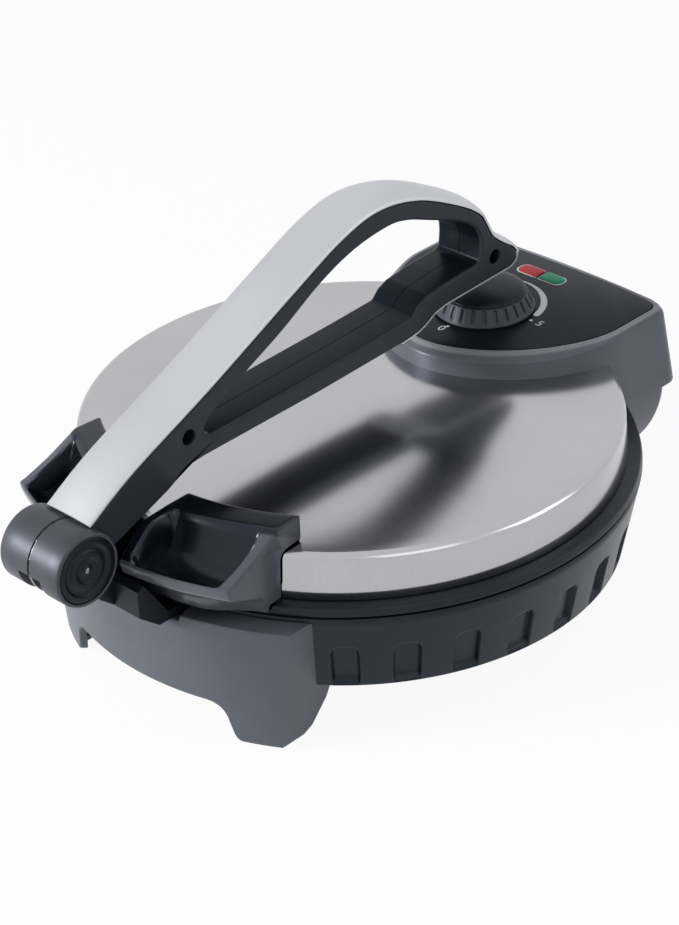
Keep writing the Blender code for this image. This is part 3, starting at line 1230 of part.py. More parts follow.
def make_lever_half(name, side, looks, lever):
    """One moulded half of the lever with its opening, its half of the hub and its screw seats."""
    look = looks["lever"]
    outer = lever_back() + [lever_point(share) for share in LEVER_UNDER_SHARES]
    opening = smooth_points([lever_point(share) for share in LEVER_OPENING_SHARES], 2, closed=True)
    seam = side * LEVER_SEAM
    face = side * LEVER_HALF_WIDTH
    edge = side * (LEVER_HALF_WIDTH - EDGE_ROUND)
    past = side * (LEVER_HALF_WIDTH + EDGE_ROUND)
    half = piece(name, loft([side_section(outer, seam), side_section(outer, edge),
                             side_section(grown(outer, -EDGE_ROUND), face)]), look, lever)
    window = loft([side_section(opening, -side * OVERRUN), side_section(opening, edge),
                   side_section(grown(opening, EDGE_ROUND * 2), past)])
    combine(half, piece(name + "_opening_tool", window, look, lever), "DIFFERENCE")
    hub_place = Matrix.Translation((0, HUB_Y, HUB_Z))
    if side < 0:
        hub_place = hub_place @ Matrix.Rotation(math.pi, 4, "Z")
    hub = along_x(turned([
        (0, HUB_HALF_LENGTH), (HUB_RADIUS - EDGE_ROUND, HUB_HALF_LENGTH),
        (HUB_RADIUS, HUB_HALF_LENGTH - EDGE_ROUND), (HUB_RADIUS, HUB_PLATE_ROOM / 2), (0, HUB_PLATE_ROOM / 2),
    ], MEDIUM_STEPS))
    combine(half, piece(name + "_hub_tool", moved(hub, hub_place), look, lever), "UNION")
    cap = CAP_RADIUS + TOUCH_GAP
    bore = AXLE_RADIUS + TOUCH_GAP
    cap_floor = HUB_HALF_LENGTH - CAP_DEPTH - TOUCH_GAP
    inside = along_x(turned([
        (0, HUB_HALF_LENGTH + OVERRUN), (cap, HUB_HALF_LENGTH + OVERRUN), (cap, cap_floor), (bore, cap_floor),
        (bore, HUB_PLATE_ROOM), (HUB_RADIUS + TOUCH_GAP, HUB_PLATE_ROOM), (HUB_RADIUS + TOUCH_GAP, -OVERRUN),
        (0, -OVERRUN),
    ], MEDIUM_STEPS))
    half_facet = Matrix.Rotation(math.pi / MEDIUM_STEPS, 4, "X")
    inside_tool = piece(name + "_hub_inside_tool", moved(inside, hub_place @ half_facet), look, lever)
    combine(half, inside_tool, "DIFFERENCE")
    hub_centre = (HUB_Y, HUB_Z)
    slot = arc_points(hub_centre, HUB_RADIUS - SLOT_DEPTH, SLOT_FROM_DEGREES, SLOT_TO_DEGREES, ARC_STEPS)
    slot += arc_points(hub_centre, HUB_RADIUS + SLOT_DEPTH, SLOT_TO_DEGREES, SLOT_FROM_DEGREES, ARC_STEPS)
    ends = sorted((-side * SLOT_HALF_WIDTH / 2, side * SLOT_HALF_WIDTH))
    combine(half, piece(name + "_slot_tool", prism(slot, ends[0], ends[1], "X"), look, lever), "DIFFERENCE")
    combine(half, lever_screw_tool(name + "_screw_tool", side, look, lever), "DIFFERENCE")
    return half


def lever_screw_places(x):
    return [Matrix.Translation((x, *lever_point(share))) for share in LEVER_SCREW_SHARES]


def lever_screw_tool(name, side, look, lever):
    """Screw seats: stepped holes through the right half, blind bores in the left half."""
    seat = LEVER_HALF_WIDTH - LEVER_HOLE_DEPTH
    blind = LEVER_SCREW_LENGTH - seat + SCREW_RADIUS * 2
    if side > 0:
        outline = [
            (0, LEVER_HALF_WIDTH + OVERRUN), (LEVER_HOLE_RADIUS, LEVER_HALF_WIDTH + OVERRUN),
            (LEVER_HOLE_RADIUS, seat), (LEVER_SCREW_BORE, seat), (LEVER_SCREW_BORE, -OVERRUN), (0, -OVERRUN),
        ]
    else:
        outline = [(0, OVERRUN), (LEVER_SCREW_BORE, OVERRUN), (LEVER_SCREW_BORE, -blind), (0, -blind)]
    hole = along_x(turned(outline, SMALL_STEPS))
    return piece(name, spread(hole, lever_screw_places(0)), look, lever)


def make_lever_screws(look, lever):
    seat = LEVER_HALF_WIDTH - LEVER_HOLE_DEPTH + TOUCH_GAP
    shape = along_x(screw(LEVER_SCREW_LENGTH))
    return copies(["lever_screw_front", "lever_screw_rear"], shape, lever_screw_places(seat), look, lever)


# Half width shares, and shares of the edge thickness and of the crown, across the strip
STRIP_SHARES = (
    (-1, 0, 0), (-1, 0.7, 0), (-0.95, 1, 0.05), (-0.55, 1, 0.72), (0, 1, 1), (0.55, 1, 0.72), (0.95, 1, 0.05),
    (1, 0.7, 0), (1, 0, 0),
)


def make_lever_strip(look, lever):
    """Brushed strip along the lever's back, crowned across and thickest at the bend."""
    path = [Vector(point) for point in lever_back()]
    sections = []
    count = len(path)
    for i, here in enumerate(path):
        along = (path[min(i + 1, count - 1)] - path[max(i - 1, 0)]).normalized()
        out = Vector((-along.y, along.x))
        swell = math.sin(math.pi * i / (count - 1))
        crown = STRIP_CROWN * (STRIP_END_SHARE + (1 - STRIP_END_SHARE) * swell)
        section = []
        for across, edge, rise in STRIP_SHARES:
            place = here + out * (TOUCH_GAP + STRIP_EDGE * edge + crown * rise)
            section.append((across * LEVER_HALF_WIDTH, place.x, place.y))
        sections.append(section)
    return piece("lever_strip", loft(sections), look, lever)


# Radius shares of the rings on a hub cap, and whether each point is raised
CAP_SHARES = (
    (0, 1), (0.12, 1), (0.17, 0), (0.36, 0), (0.41, 1), (0.60, 1), (0.65, 0), (0.77, 0), (0.82, 1), (0.96, 1),
)


def make_hub_caps(look, lever):
    """Ringed caps in the open ends of the hub."""
    top = HUB_HALF_LENGTH - CAP_SETBACK
    groove = CAP_DEPTH / 3
    outline = [(CAP_RADIUS * r, top - groove * (1 - raised)) for r, raised in CAP_SHARES]
    outline += [(CAP_RADIUS, top - CAP_SETBACK), (CAP_RADIUS, HUB_HALF_LENGTH - CAP_DEPTH)]
    outline += [(0, HUB_HALF_LENGTH - CAP_DEPTH)]
    for name, turn in (("hub_cap_right", 0), ("hub_cap_left", math.pi)):
        place = Matrix.Translation((0, HUB_Y, HUB_Z)) @ Matrix.Rotation(turn, 4, "Z")
        piece(name, moved(along_x(turned(outline, SMALL_STEPS)), place), look, lever)


def make_lever_axle(look, lever):
    half = HUB_HALF_LENGTH - CAP_DEPTH - TOUCH_GAP
    circle = circle_points((HUB_Y, HUB_Z), AXLE_RADIUS, SMALL_STEPS)
    return piece("lever_axle", prism(circle, -half, half, "X"), look, lever)


def eye_outline(grow):
    """Round eye with a straight stem that runs down to the bracket."""
    radius = EYE_RADIUS + grow
    half = EYE_STEM_WIDTH / 2 + grow
    spread_angle = math.degrees(math.asin(half / radius))
    start = EYE_STEM_DEGREES + spread_angle
    end = EYE_STEM_DEGREES + FULL_TURN - spread_angle
    points = arc_points((HUB_Y, HUB_Z), radius, start, end, MEDIUM_STEPS)
    stem = math.radians(EYE_STEM_DEGREES)
    along = Vector((math.cos(stem), math.sin(stem)))
    across = Vector((-along.y, along.x))
    foot = Vector((HUB_Y, HUB_Z)) + along * (EYE_STEM_LENGTH + grow)
    points += [tuple(foot - across * half), tuple(foot + across * half)]
    return points


def make_pivot_plate(look, base):
    """Steel eye between the two halves of the hub."""
    shape = prism(eye_outline(0), -EYE_HALF_THICKNESS, EYE_HALF_THICKNESS, "X")
    plate = piece("pivot_plate", shape, look, base)
    circle = circle_points((HUB_Y, HUB_Z), AXLE_RADIUS + TOUCH_GAP, SMALL_STEPS)
    hole = prism(circle, -OVERRUN, OVERRUN, "X")
    combine(plate, piece("eye_hole_tool", hole, look, base), "DIFFERENCE")
    return plate


def bracket_outline(nose_y):
    """Side view of the bracket, cut short at a front limit."""
    under = (BRACKET_NOSE_LOW_Z - BRACKET_LOWER_Z) / (BRACKET_NOSE_Y - BRACKET_LOWER_Y)
    over = (BRACKET_NOSE_Z - BRACKET_TOP_Z) / (BRACKET_NOSE_Y - BRACKET_TOP_Y)
    front_gap = TOUCH_GAP + BRACKET_FOOT_DEPTH
    inside = -PLATE_RADIUS - WALL * 4
    return [
        (inside, BRACKET_FOOT_Z), (-bowl_radius(BRACKET_FOOT_Z) - front_gap, BRACKET_FOOT_Z),
        (-bowl_radius(BRACKET_LOWER_Z) - front_gap, BRACKET_LOWER_Z), (BRACKET_LOWER_Y, BRACKET_LOWER_Z),
        (nose_y, BRACKET_LOWER_Z + under * (nose_y - BRACKET_LOWER_Y)),
        (nose_y, BRACKET_TOP_Z + over * (nose_y - BRACKET_TOP_Y)),
        (BRACKET_TOP_Y, BRACKET_TOP_Z), (BRACKET_HEEL_Y, BRACKET_HEEL_Z), (inside, BRACKET_HEEL_Z),
    ]


def make_lever_bracket(look, base, envelope):
    """Moulded bracket: a foot against the bowl, a wide heel and a narrower arm towards the hub."""
    stations = ((BRACKET_HALF_WIDTH, BRACKET_WING_Y), (BRACKET_ARM_HALF_WIDTH + EDGE_ROUND, BRACKET_WING_Y),
                (BRACKET_ARM_HALF_WIDTH, BRACKET_NOSE_Y))
    sections = [side_section(bracket_outline(nose_y), x) for x, nose_y in stations]
    sections += [side_section(bracket_outline(nose_y), -x) for x, nose_y in reversed(stations)]
    bracket = piece("lever_bracket", loft(sections), look, base)
    combine(bracket, envelope, "DIFFERENCE")
    slot_half = EYE_HALF_THICKNESS + TOUCH_GAP
    slot = prism(eye_outline(TOUCH_GAP), -slot_half, slot_half, "X")
    combine(bracket, piece("bracket_slot_tool", slot, look, base), "DIFFERENCE")
    bores = prism(circle_points((0, 0), SCREW_RADIUS + TOUCH_GAP, SCREW_STEPS), -APRON_TOP_RADIUS,
                  -PLATE_RADIUS, "Y")
    places = [Matrix.Translation((side * BRACKET_SCREW_X, 0, BRACKET_SCREW_Z)) for side in (-1, 1)]
    combine(bracket, piece("bracket_bore_tool", spread(bores, places), look, base), "DIFFERENCE")
    return bracket


def make_bracket_screws(look, base):
    """Two screws from inside the bowl into the bracket's foot."""
    inner = bowl_radius(BRACKET_SCREW_Z) - BOWL_WALL - SCREW_HEAD_HEIGHT
    seat = -math.sqrt(inner ** 2 - BRACKET_SCREW_X ** 2)
    forwards = Matrix.Rotation(-math.pi / 2, 4, "X")
    places = []
    for side in (-1, 1):
        places.append(Matrix.Translation((side * BRACKET_SCREW_X, seat, BRACKET_SCREW_Z)) @ forwards)
    return copies(["bracket_screw_left", "bracket_screw_right"], screw(WALL * 3), places, look, base)


def make_looks():
    """Materials by name: colour, roughness and metallic."""
    table = {
        "bowl": ((0.018, 0.021, 0.027), 0.35, 0.0),
        "dark_plastic": ((0.015, 0.018, 0.022), 0.45, 0.0),
        "ring": ((0.020, 0.021, 0.026), 0.35, 0.0),
        "apron": ((0.180, 0.190, 0.230), 0.45, 0.0),
        "lever": ((0.016, 0.018, 0.022), 0.35, 0.0),
        "grip": ((0.025, 0.028, 0.036), 0.30, 0.0),
        "box": ((0.060, 0.065, 0.080), 0.40, 0.0),
        "panel": ((0.018, 0.021, 0.028), 0.25, 0.0),
        "knob": ((0.030, 0.034, 0.042), 0.45, 0.0),
        "cap": ((0.014, 0.016, 0.020), 0.35, 0.0),
        "brushed_steel": ((0.560, 0.560, 0.580), 0.32, 1.0),
        "strip": ((0.600, 0.610, 0.640), 0.40, 1.0),
        "plate": ((0.060, 0.060, 0.065), 0.55, 0.0),
        "element": ((0.350, 0.340, 0.330), 0.45, 1.0),
        "sheet": ((0.550, 0.550, 0.560), 0.40, 1.0),
        "steel": ((0.580, 0.580, 0.590), 0.30, 1.0),
        "rubber": ((0.020, 0.020, 0.021), 0.80, 0.0),
        "power_lens": ((0.420, 0.070, 0.075), 0.20, 0.0),
        "ready_lens": ((0.005, 0.240, 0.130), 0.20, 0.0),
    }
    return {name: finish_look(name, *values) for name, values in table.items()}


def main():
    clear_scene()
    looks = make_looks()
    root = pivot("roti_maker", None, (0, PLATE_AXIS_Y, 0))
    base = pivot("base_body", root, (0, 0, 0))
    lid = pivot("lid_body", root, (0, HINGE_Y, HINGE_Z))
    lever = pivot("lever_body", root, (0, HUB_Y, HUB_Z))
    knob = pivot("knob_body", lid, (0, KNOB_Y - HINGE_Y, BOX_TOP_Z - HINGE_Z))
    envelope = bowl_envelope(looks["bowl"], base)
    make_base_bowl(looks["bowl"], base)
    make_bottom_cover(looks["dark_plastic"], base)
    make_bottom_screws(looks["steel"], base)
    make_plates(looks, base, lid)
    make_front_apron(looks["apron"], base, envelope)
    make_pads(looks["rubber"], base)
    make_rear_legs(looks["dark_plastic"], base)
    make_rear_housing(looks["box"], base, envelope)
    make_hinge_pins(looks["steel"], base)
    make_cord_inlet(looks["rubber"], base)
    make_pivot_plate(looks["steel"], base)
    make_lever_bracket(looks["dark_plastic"], base, envelope)
    make_bracket_screws(looks["steel"], base)
    make_lid_ring(looks["ring"], lid)
    make_lid_cover(looks["brushed_steel"], lid)
    make_lid_screws(looks["steel"], lid)
    make_grips(looks["grip"], lid)
    make_control_box(looks["box"], lid)
    make_control_panel(looks["panel"], lid)
    make_lamps(looks, lid)
    make_thermostat(looks["element"], lid)
    make_knob(looks, knob)
    make_lever_half("lever_frame_right", 1, looks, lever)
    make_lever_half("lever_frame_left", -1, looks, lever)
    make_lever_strip(looks["strip"], lever)
    make_lever_screws(looks["steel"], lever)
    make_hub_caps(looks["cap"], lever)
    make_lever_axle(looks["steel"], lever)


main()
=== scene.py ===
"""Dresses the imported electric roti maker: fine surfaces, finishes, dial print, studio and camera."""

import json
import math

import bmesh
import bpy
import numpy as np
from bpy.props import FloatProperty, FloatVectorProperty, IntProperty, PointerProperty
from mathutils import Matrix, Vector


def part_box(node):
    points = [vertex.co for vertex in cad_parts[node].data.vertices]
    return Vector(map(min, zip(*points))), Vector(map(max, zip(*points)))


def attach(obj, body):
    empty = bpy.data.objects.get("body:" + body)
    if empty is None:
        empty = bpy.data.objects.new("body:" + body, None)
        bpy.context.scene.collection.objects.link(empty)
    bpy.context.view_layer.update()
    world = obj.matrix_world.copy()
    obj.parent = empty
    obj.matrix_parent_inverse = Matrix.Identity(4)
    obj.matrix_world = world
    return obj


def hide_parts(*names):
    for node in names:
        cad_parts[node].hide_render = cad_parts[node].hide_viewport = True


bl_info = {
    "name": "Roti maker dressing",
    "version": (1, 0, 0),
    "blender": (4, 5, 0),
    "location": "View3D > Sidebar > Roti maker",
    "description": "Adds the shown surfaces and finishes of an electric roti maker to its CAD frame",
    "category": "Object",
}

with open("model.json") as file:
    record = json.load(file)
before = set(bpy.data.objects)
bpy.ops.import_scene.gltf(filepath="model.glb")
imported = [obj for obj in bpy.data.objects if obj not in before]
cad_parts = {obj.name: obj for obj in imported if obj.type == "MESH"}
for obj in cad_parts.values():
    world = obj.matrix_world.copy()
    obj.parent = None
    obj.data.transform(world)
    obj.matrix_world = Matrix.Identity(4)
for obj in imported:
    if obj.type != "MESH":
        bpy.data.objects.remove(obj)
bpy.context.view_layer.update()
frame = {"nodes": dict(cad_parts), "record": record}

# Places and sizes of the CAD frame, in metres, from the plate axis at table level
LID_LOW, LID_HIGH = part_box("lid_cover")
AXIS_Y = (LID_LOW.y + LID_HIGH.y) / 2
# Shared heights and clearances
GAP = 0.0003
PRINT_RISE = 0.00006
RIM_Z = 0.0615
FOOT_Z = 0.0625
# Base bowl and cooking plates
BASE_LOW_Z = 0.0245
BASE_FOOT_RADIUS = 0.1160
BASE_RIM_RADIUS = 0.1234
PLATE_RADIUS = 0.1016
PLATE_DEPTH = 0.0092
WELL_RADIUS = PLATE_RADIUS + GAP * 2
WELL_DEPTH = 0.0107
# Front apron: plan at the table and at the top, then its lower edge by distance from the middle
APRON_TOP_Z = 0.0595
APRON_RADIUS = (0.1287, 0.1325)
APRON_HALF = (0.0650, 0.0730)
APRON_SIDE_Y = -0.0859
APRON_WALL = 0.0030
APRON_ARCH = (
    (0, 0.0193), (0.0360, 0.0193), (0.0388, 0.0188), (0.0412, 0.0176), (0.0432, 0.0156), (0.0446, 0.0130),
    (0.0455, 0.0100), (0.0474, 0.0045), (0.0482, 0.0030), (0.0494, 0.0019), (0.0506, 0.0015),
)
APRON_HEEL = ((-0.0993, 0.0015), (-0.0946, 0.0039), (-0.0873, 0.0148), (-0.0859, 0.0193))
# Rear housing
HOUSING_TOP_Z = 0.0612
HOUSING_LOW_Z = 0.0382
HOUSING_HALF = 0.0630
HOUSING_FRONT_Y = 0.1000
HOUSING_REAR_Y = 0.1380
# Lid ring and steel cover
RING_RADIUS = 0.1233
RING_TOP_Z = 0.0660
RING_SHELF_Z = 0.0740
RING_SHELF = (0.1126, 0.1148)
WALL_RADIUS = 0.1170
SHOULDER_RADIUS = 0.1160
SHOULDER_ROUND = 0.0032
FLAT_RADIUS = SHOULDER_RADIUS - SHOULDER_ROUND
WALL_TOP_Z = 0.0832
EDGE_Z = 0.0864
STEEL_THICKNESS = 0.0009
# Grips: radii from the plate axis with heights
GRIP_SEAT_RADIUS = 0.1055
GRIP_RIDGE = (0.1175, 0.0984)
GRIP_LIP = (0.1448, 0.0858)
GRIP_SCOOP_Z = 0.0802
GRIP_SPAN = (0.0135, 0.0615)
GRIP_SLANT = math.radians(4.0)
GRIP_FOOT_RADIUS, GRIP_DRAWN_FOOT = 0.1293, 0.1240
CHEEK_SLOPE = 0.0022
# Control box and knob
BOX_TOP_Z = 0.0984
BOX_CENTRE_Y = 0.1070
KNOB_Y = 0.0855
KNOB_FOOT_Z = BOX_TOP_Z + 0.0010
KNOB_FOOT_RADIUS = 0.0228
KNOB_RIM_RADIUS = 0.0190
KNOB_SKIRT = 0.0074
KNOB_HEIGHT = 0.0110
# Lamp lenses
LENS_Y = 0.1251
LENS_MIDDLE_X = -0.00045
LENS_PLACE = 0.0064
LENS_HALF = 0.0059
LENS_HALF_DEPTH = 0.0036
LENS_BEND = 0.0034
LENS_INNER_BEND = 0.0008
# Hinge
HINGE_Y = 0.1390
HINGE_Z = 0.0615
HINGE_RADIUS = 0.0042
# Where each side's knuckles start and stop along the axis
HOUSING_KNUCKLES = (0.0302, 0.0380)
BOX_KNUCKLES = (0.0220, 0.0297)
# Hub and lever
HUB_Y = -0.1615
HUB_Z = 0.0912
HUB_RADIUS = 0.0155
HUB_HALF = 0.0170
SLOT_FROM, SLOT_TO = -173.2, -32.8  # degrees round the axle
LEVER_HALF = 0.0125
LEVER_REACH = 0.2551
LEVER_RISE = 0.0861
# Side view of the lever from its axis, as shares of its reach and rise: back, underside, and the arch
# and floor of its opening
LEVER_BACK = (
    (0.027, 0.163), (0.120, 0.321), (0.288, 0.541), (0.471, 0.798), (0.579, 0.942), (0.665, 1.000),
    (0.758, 0.955), (0.858, 0.815), (0.906, 0.718), (0.922, 0.648), (0.938, 0.566), (0.964, 0.500),
    (0.989, 0.448), (1.000, 0.400),
)
LEVER_UNDER = (
    (0.996, 0.366), (0.984, 0.346), (0.899, 0.336), (0.818, 0.327), (0.794, 0.312), (0.768, 0.272),
    (0.750, 0.254), (0.713, 0.242), (0.514, 0.222), (0.262, 0.214), (0.222, 0.204), (0.190, 0.143),
    (0.079, 0.019), (0.030, -0.020),
)
LEVER_ARCH = (
    (0.267, 0.345), (0.283, 0.400), (0.352, 0.512), (0.440, 0.634), (0.531, 0.779), (0.609, 0.864),
    (0.687, 0.896), (0.733, 0.878), (0.783, 0.823), (0.847, 0.744), (0.888, 0.675), (0.905, 0.609),
    (0.908, 0.544), (0.905, 0.462),
)
LEVER_FLOOR = (
    (0.896, 0.451), (0.834, 0.443), (0.776, 0.424), (0.754, 0.396), (0.740, 0.354), (0.639, 0.341),
    (0.509, 0.330), (0.318, 0.314), (0.278, 0.310), (0.268, 0.322),
)
SCREW_HOLES = ((0.234, 0.350), (0.942, 0.446))
# Places that face each other across the lever's frame: outer edge, then opening
LEVER_PAIRS = (
    ((0.027, 0.163), (0.267, 0.345)), ((0.665, 1.000), (0.687, 0.896)), ((1.000, 0.400), (0.906, 0.490)),
    ((0.755, 0.272), (0.740, 0.354)), ((0.262, 0.214), (0.318, 0.314)), ((0.030, -0.020), (0.278, 0.310)),
)
# Side view of a grip between ridge and lip, as shares of the run and of the scoop's depth
SCOOP = ((0, 0), (0.07, 0.14), (0.16, 0.52), (0.30, 0.86), (0.52, 1.00), (0.74, 0.95), (0.90, 0.77))
INNER_CHEEK = ((0, 0), (0.12, 0.01), (0.24, 0.02), (0.36, 0.03), (0.48, 0.05), (0.60, 0.16), (0.93, 0.62))
OUTER_CHEEK = ((0, 0), (0.08, 0.08), (0.20, 0.18), (0.34, 0.30), (0.52, 0.44), (0.74, 0.58), (0.90, 0.68))


# Surfaces


def ease(value):
    """Smooth step of a share: 3 t squared minus 2 t cubed, held between 0 and 1."""
    t = np.clip(value, 0, 1)
    return t * t * (3 - 2 * t)


def ring_angles(steps):
    """Even angles round a full turn."""
    return np.arange(steps) * 2 * math.pi / steps


def arc(centre, radius, start, end, steps):
    """Points on a circular arc: centre plus radius times cosine and sine, angles in degrees."""
    angle = np.radians(np.linspace(start, end, steps + 1))
    return np.stack([centre[0] + radius * np.cos(angle), centre[1] + radius * np.sin(angle)], -1)


def smooth_line(points, steps):
    """Catmull-Rom curve: each span is the usual cubic through its two ends and their neighbours."""
    p = np.asarray(points, float)
    first = np.arange(len(p) - 1)
    a, b, c, d = [p[np.clip(first + k, 0, len(p) - 1)][:, None, :] for k in (-1, 0, 1, 2)]
    t = (np.arange(steps) / steps)[None, :, None]
    square, cube = a * 2 - b * 5 + c * 4 - d, b * 3 - a - c * 3 + d
    curve = (b * 2 + (c - a) * t + square * t ** 2 + cube * t ** 3) / 2
    return np.concatenate([curve.reshape(-1, p.shape[1]), p[-1:]])


def spans(*parts):
    """Even steps over one span after another, each given by its start, its stop and its count."""
    return np.concatenate([np.linspace(*part, endpoint=False) for part in parts])


def even_line(points, count, closed=False):
    """Points moved to even distances along their line, by interpolation on the running length."""
    p = np.asarray(points, float)
    if closed:
        p = np.concatenate([p, p[:1]])
    run = np.concatenate([[0], np.cumsum(np.linalg.norm(np.diff(p, axis=0), axis=1))])
    place = np.linspace(0, run[-1], count, endpoint=not closed)
    return np.stack([np.interp(place, run, p[:, k]) for k in range(p.shape[1])], -1)


def softened(points, reach, closed=True):
    """Line whose corners are rounded by a bell-shaped running mean over some neighbours."""
    p = np.asarray(points, float)
    weight = np.exp(-(np.arange(-3 * reach, 3 * reach + 1) / reach) ** 2 / 2)
    weight /= weight.sum()
    if closed:
        padded = np.concatenate([p[-3 * reach:], p, p[:3 * reach]])
    else:
        padded = np.concatenate([np.repeat(p[:1], 3 * reach, 0), p, np.repeat(p[-1:], 3 * reach, 0)])
    result = np.stack([np.convolve(padded[:, k], weight, "valid") for k in range(p.shape[1])], -1)
    if not closed:
        result[0], result[-1] = p[0], p[-1]
    return result


def outward(line, closed=True):
    """Unit normals of a flat line, to the right of its direction."""
    if closed:
        along = np.roll(line, -1, 0) - np.roll(line, 1, 0)
    else:
        along = np.gradient(line, axis=0)
    along /= np.maximum(np.linalg.norm(along, axis=1, keepdims=True), 1e-12)
    return np.stack([along[:, 1], -along[:, 0]], -1)


def turning_outwards(line):
    """The same closed line, run anticlockwise so that its normals point outwards."""
    nxt = np.roll(line, -1, 0)
    area = np.sum(line[:, 0] * nxt[:, 1] - nxt[:, 0] * line[:, 1])
    return line if area > 0 else line[::-1]


def turned(profile, angles, middle=(0, 0), sink=0.0):
    """Surface of revolution: x and y are the radius, less what the wall sinks in, times cosine and
    sine; z is the profile's height."""
    line = np.asarray(profile, float)
    radius = line[:, 0:1] - sink + 0 * angles
    return np.stack([middle[0] + radius * np.cos(angles), middle[1] + radius * np.sin(angles),
                     line[:, 1:2] + 0 * angles], -1)


def bend(count, start=0.0):
    """Pairs of 1 - cosine and 1 - sine along an arc that ends at a quarter turn."""
    return [(1 - math.cos(a), 1 - math.sin(a)) for a in np.linspace(math.radians(start), math.pi / 2, count)]


def parabola(start, control, end, steps):
    """Places along a short bend that is drawn by its two ends and its control point."""
    shares = np.linspace(0, 1, steps + 1)
    return [start * (1 - t) ** 2 + control * 2 * t * (1 - t) + end * t ** 2 for t in shares]


def across_x(points, y, z):
    """A shape turned about z, laid along x and moved to a place in the side view."""
    return np.stack([points[..., 2], points[..., 0] + y, points[..., 1] + z], -1)


def rounded(line, radius, steps=3):
    """Profile whose corners are cut by short parabolas: each corner is the control point of its bend."""
    p = np.asarray(line, float)
    result = [p[:1]]
    for before, here, after in zip(p[:-2], p[1:-1], p[2:]):
        ends = []
        for other in (before, after):
            away = max(np.linalg.norm(other - here), 1e-9)
            ends.append(here + (other - here) / away * min(radius, away * 0.45))
        result.append(np.stack(parabola(ends[0], here, ends[1], steps)))
    return np.concatenate(result + [p[-1:]])


def grid_faces(rows, columns, wrap_rows, wrap_columns):
    """Quads between neighbouring rows and columns of a grid."""
    i = np.arange(rows if wrap_rows else rows - 1)[:, None]
    j = np.arange(columns if wrap_columns else columns - 1)[None, :]
    below, beside = (i + 1) % rows, (j + 1) % columns
    return np.stack([i * columns + j, i * columns + beside, below * columns + beside, below * columns + j],
                    -1).reshape(-1, 4)


def shell(points, wrap_rows=False, caps=False):
    """One closed surface as points and faces, turned so that its faces look outwards."""
    rows, columns = points.shape[:2]
    quads = grid_faces(rows, columns, wrap_rows, True)
    flat = points.reshape(-1, 3)
    a, b, c, d = [flat[quads[:, k]] for k in range(4)]
    volume = np.sum(np.cross(b, c) * a) + np.sum(np.cross(c, d) * a)
    faces = quads.tolist()
    if caps:
        for end in (list(range(columns))[::-1], list(range((rows - 1) * columns, rows * columns))):
            volume += np.sum(np.cross(flat[end], np.roll(flat[end], -1, 0)) * flat[end].mean(0))
            faces.append(end)
    return flat, [face[::-1] for face in faces] if volume < 0 else faces


def flat_section(outline, z):
    """Outline in plan put at a height."""
    return np.concatenate([outline, np.full((len(outline), 1), z)], 1)


def side_section(outline, x):
    """Outline in side view (y, z) put at a distance x."""
    return np.concatenate([np.full((len(outline), 1), x), outline], 1)


def pillow(outline, low, high, radius, steps=3):
    """Plate with rounded edges: the outline is drawn in along a quarter circle at both faces."""
    line = turning_outwards(np.asarray(outline, float))
    normal = outward(line)
    rows = [(draw, low + radius * rise) for rise, draw in bend(steps + 1)]
    rows += [(draw, high - radius * rise) for rise, draw in bend(steps + 1)[::-1]]
    return np.stack([flat_section(line - normal * radius * draw, z) for draw, z in rows])


def put(name, shells, finish, body, nodes=(), sharp=32, weld=True, shares=None):
    """Makes one object from surfaces, welds poles and seams, gives it its finish and lets it ride on its body
    in place of the named parts; shares of a second colour, painted light, may be kept with its points."""
    points, faces, shift = [], [], 0
    for flat, some in shells:
        points.append(flat + np.array([0, AXIS_Y, 0]))
        faces += [[index + shift for index in face] for face in some]
        shift += len(flat)
    mesh = bpy.data.meshes.new(name)
    mesh.from_pydata(np.concatenate(points).tolist(), [], faces)
    if shares is not None:
        mesh.attributes.new("share", "FLOAT", "POINT").data.foreach_set("value", shares)
    if weld:
        working = bmesh.new()
        working.from_mesh(mesh)
        bmesh.ops.remove_doubles(working, verts=working.verts, dist=2e-6)
        bmesh.ops.dissolve_degenerate(working, edges=working.edges, dist=1e-7)
        working.to_mesh(mesh)
        working.free()
    mesh.update()
    mesh.polygons.foreach_set("use_smooth", np.ones(len(mesh.polygons), bool))
    mesh.set_sharp_from_angle(angle=math.radians(sharp))
    mesh.materials.append(look(finish))
    item = bpy.data.objects.new(name, mesh)
    bpy.context.scene.collection.objects.link(item)
    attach(item, body)
    if nodes:
        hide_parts(*nodes)


# Finishes


def wire(tree, kind, links=(), **values):
    """Adds a node, sets its properties and its sockets' values, and links the given outputs to its inputs."""
    item = tree.nodes.new(kind)
    for key, value in values.items():
        setattr(item, key, value)
    for socket, source in links:
        if isinstance(source, bpy.types.NodeSocket):
            tree.links.new(source, item.inputs[socket])
        else:
            item.inputs[socket].default_value = source
    return item


def new_group(name, inputs, outputs):
    """Empty shader group with the given inputs and outputs, and the sockets of its two end nodes."""
    tree = bpy.data.node_groups.new(name, "ShaderNodeTree")
    for label, kind, default in inputs:
        socket = tree.interface.new_socket(label, in_out="INPUT", socket_type="NodeSocket" + kind)
        socket.default_value = default
    for label, kind in outputs:
        tree.interface.new_socket(label, in_out="OUTPUT", socket_type="NodeSocket" + kind)
    return tree, tree.nodes.new("NodeGroupInput").outputs, tree.nodes.new("NodeGroupOutput").inputs


def maths(tree, operation, *values):
    """Output of a new maths node."""
    return wire(tree, "ShaderNodeMath", enumerate(values), operation=operation).outputs[0]


def noise(tree, place, scale, detail, roughness=0.5):
    """Output of a new noise node."""
    return wire(tree, "ShaderNodeTexNoise", [("Vector", place), ("Scale", scale), ("Detail", detail),
                                             ("Roughness", roughness)]).outputs["Fac"]


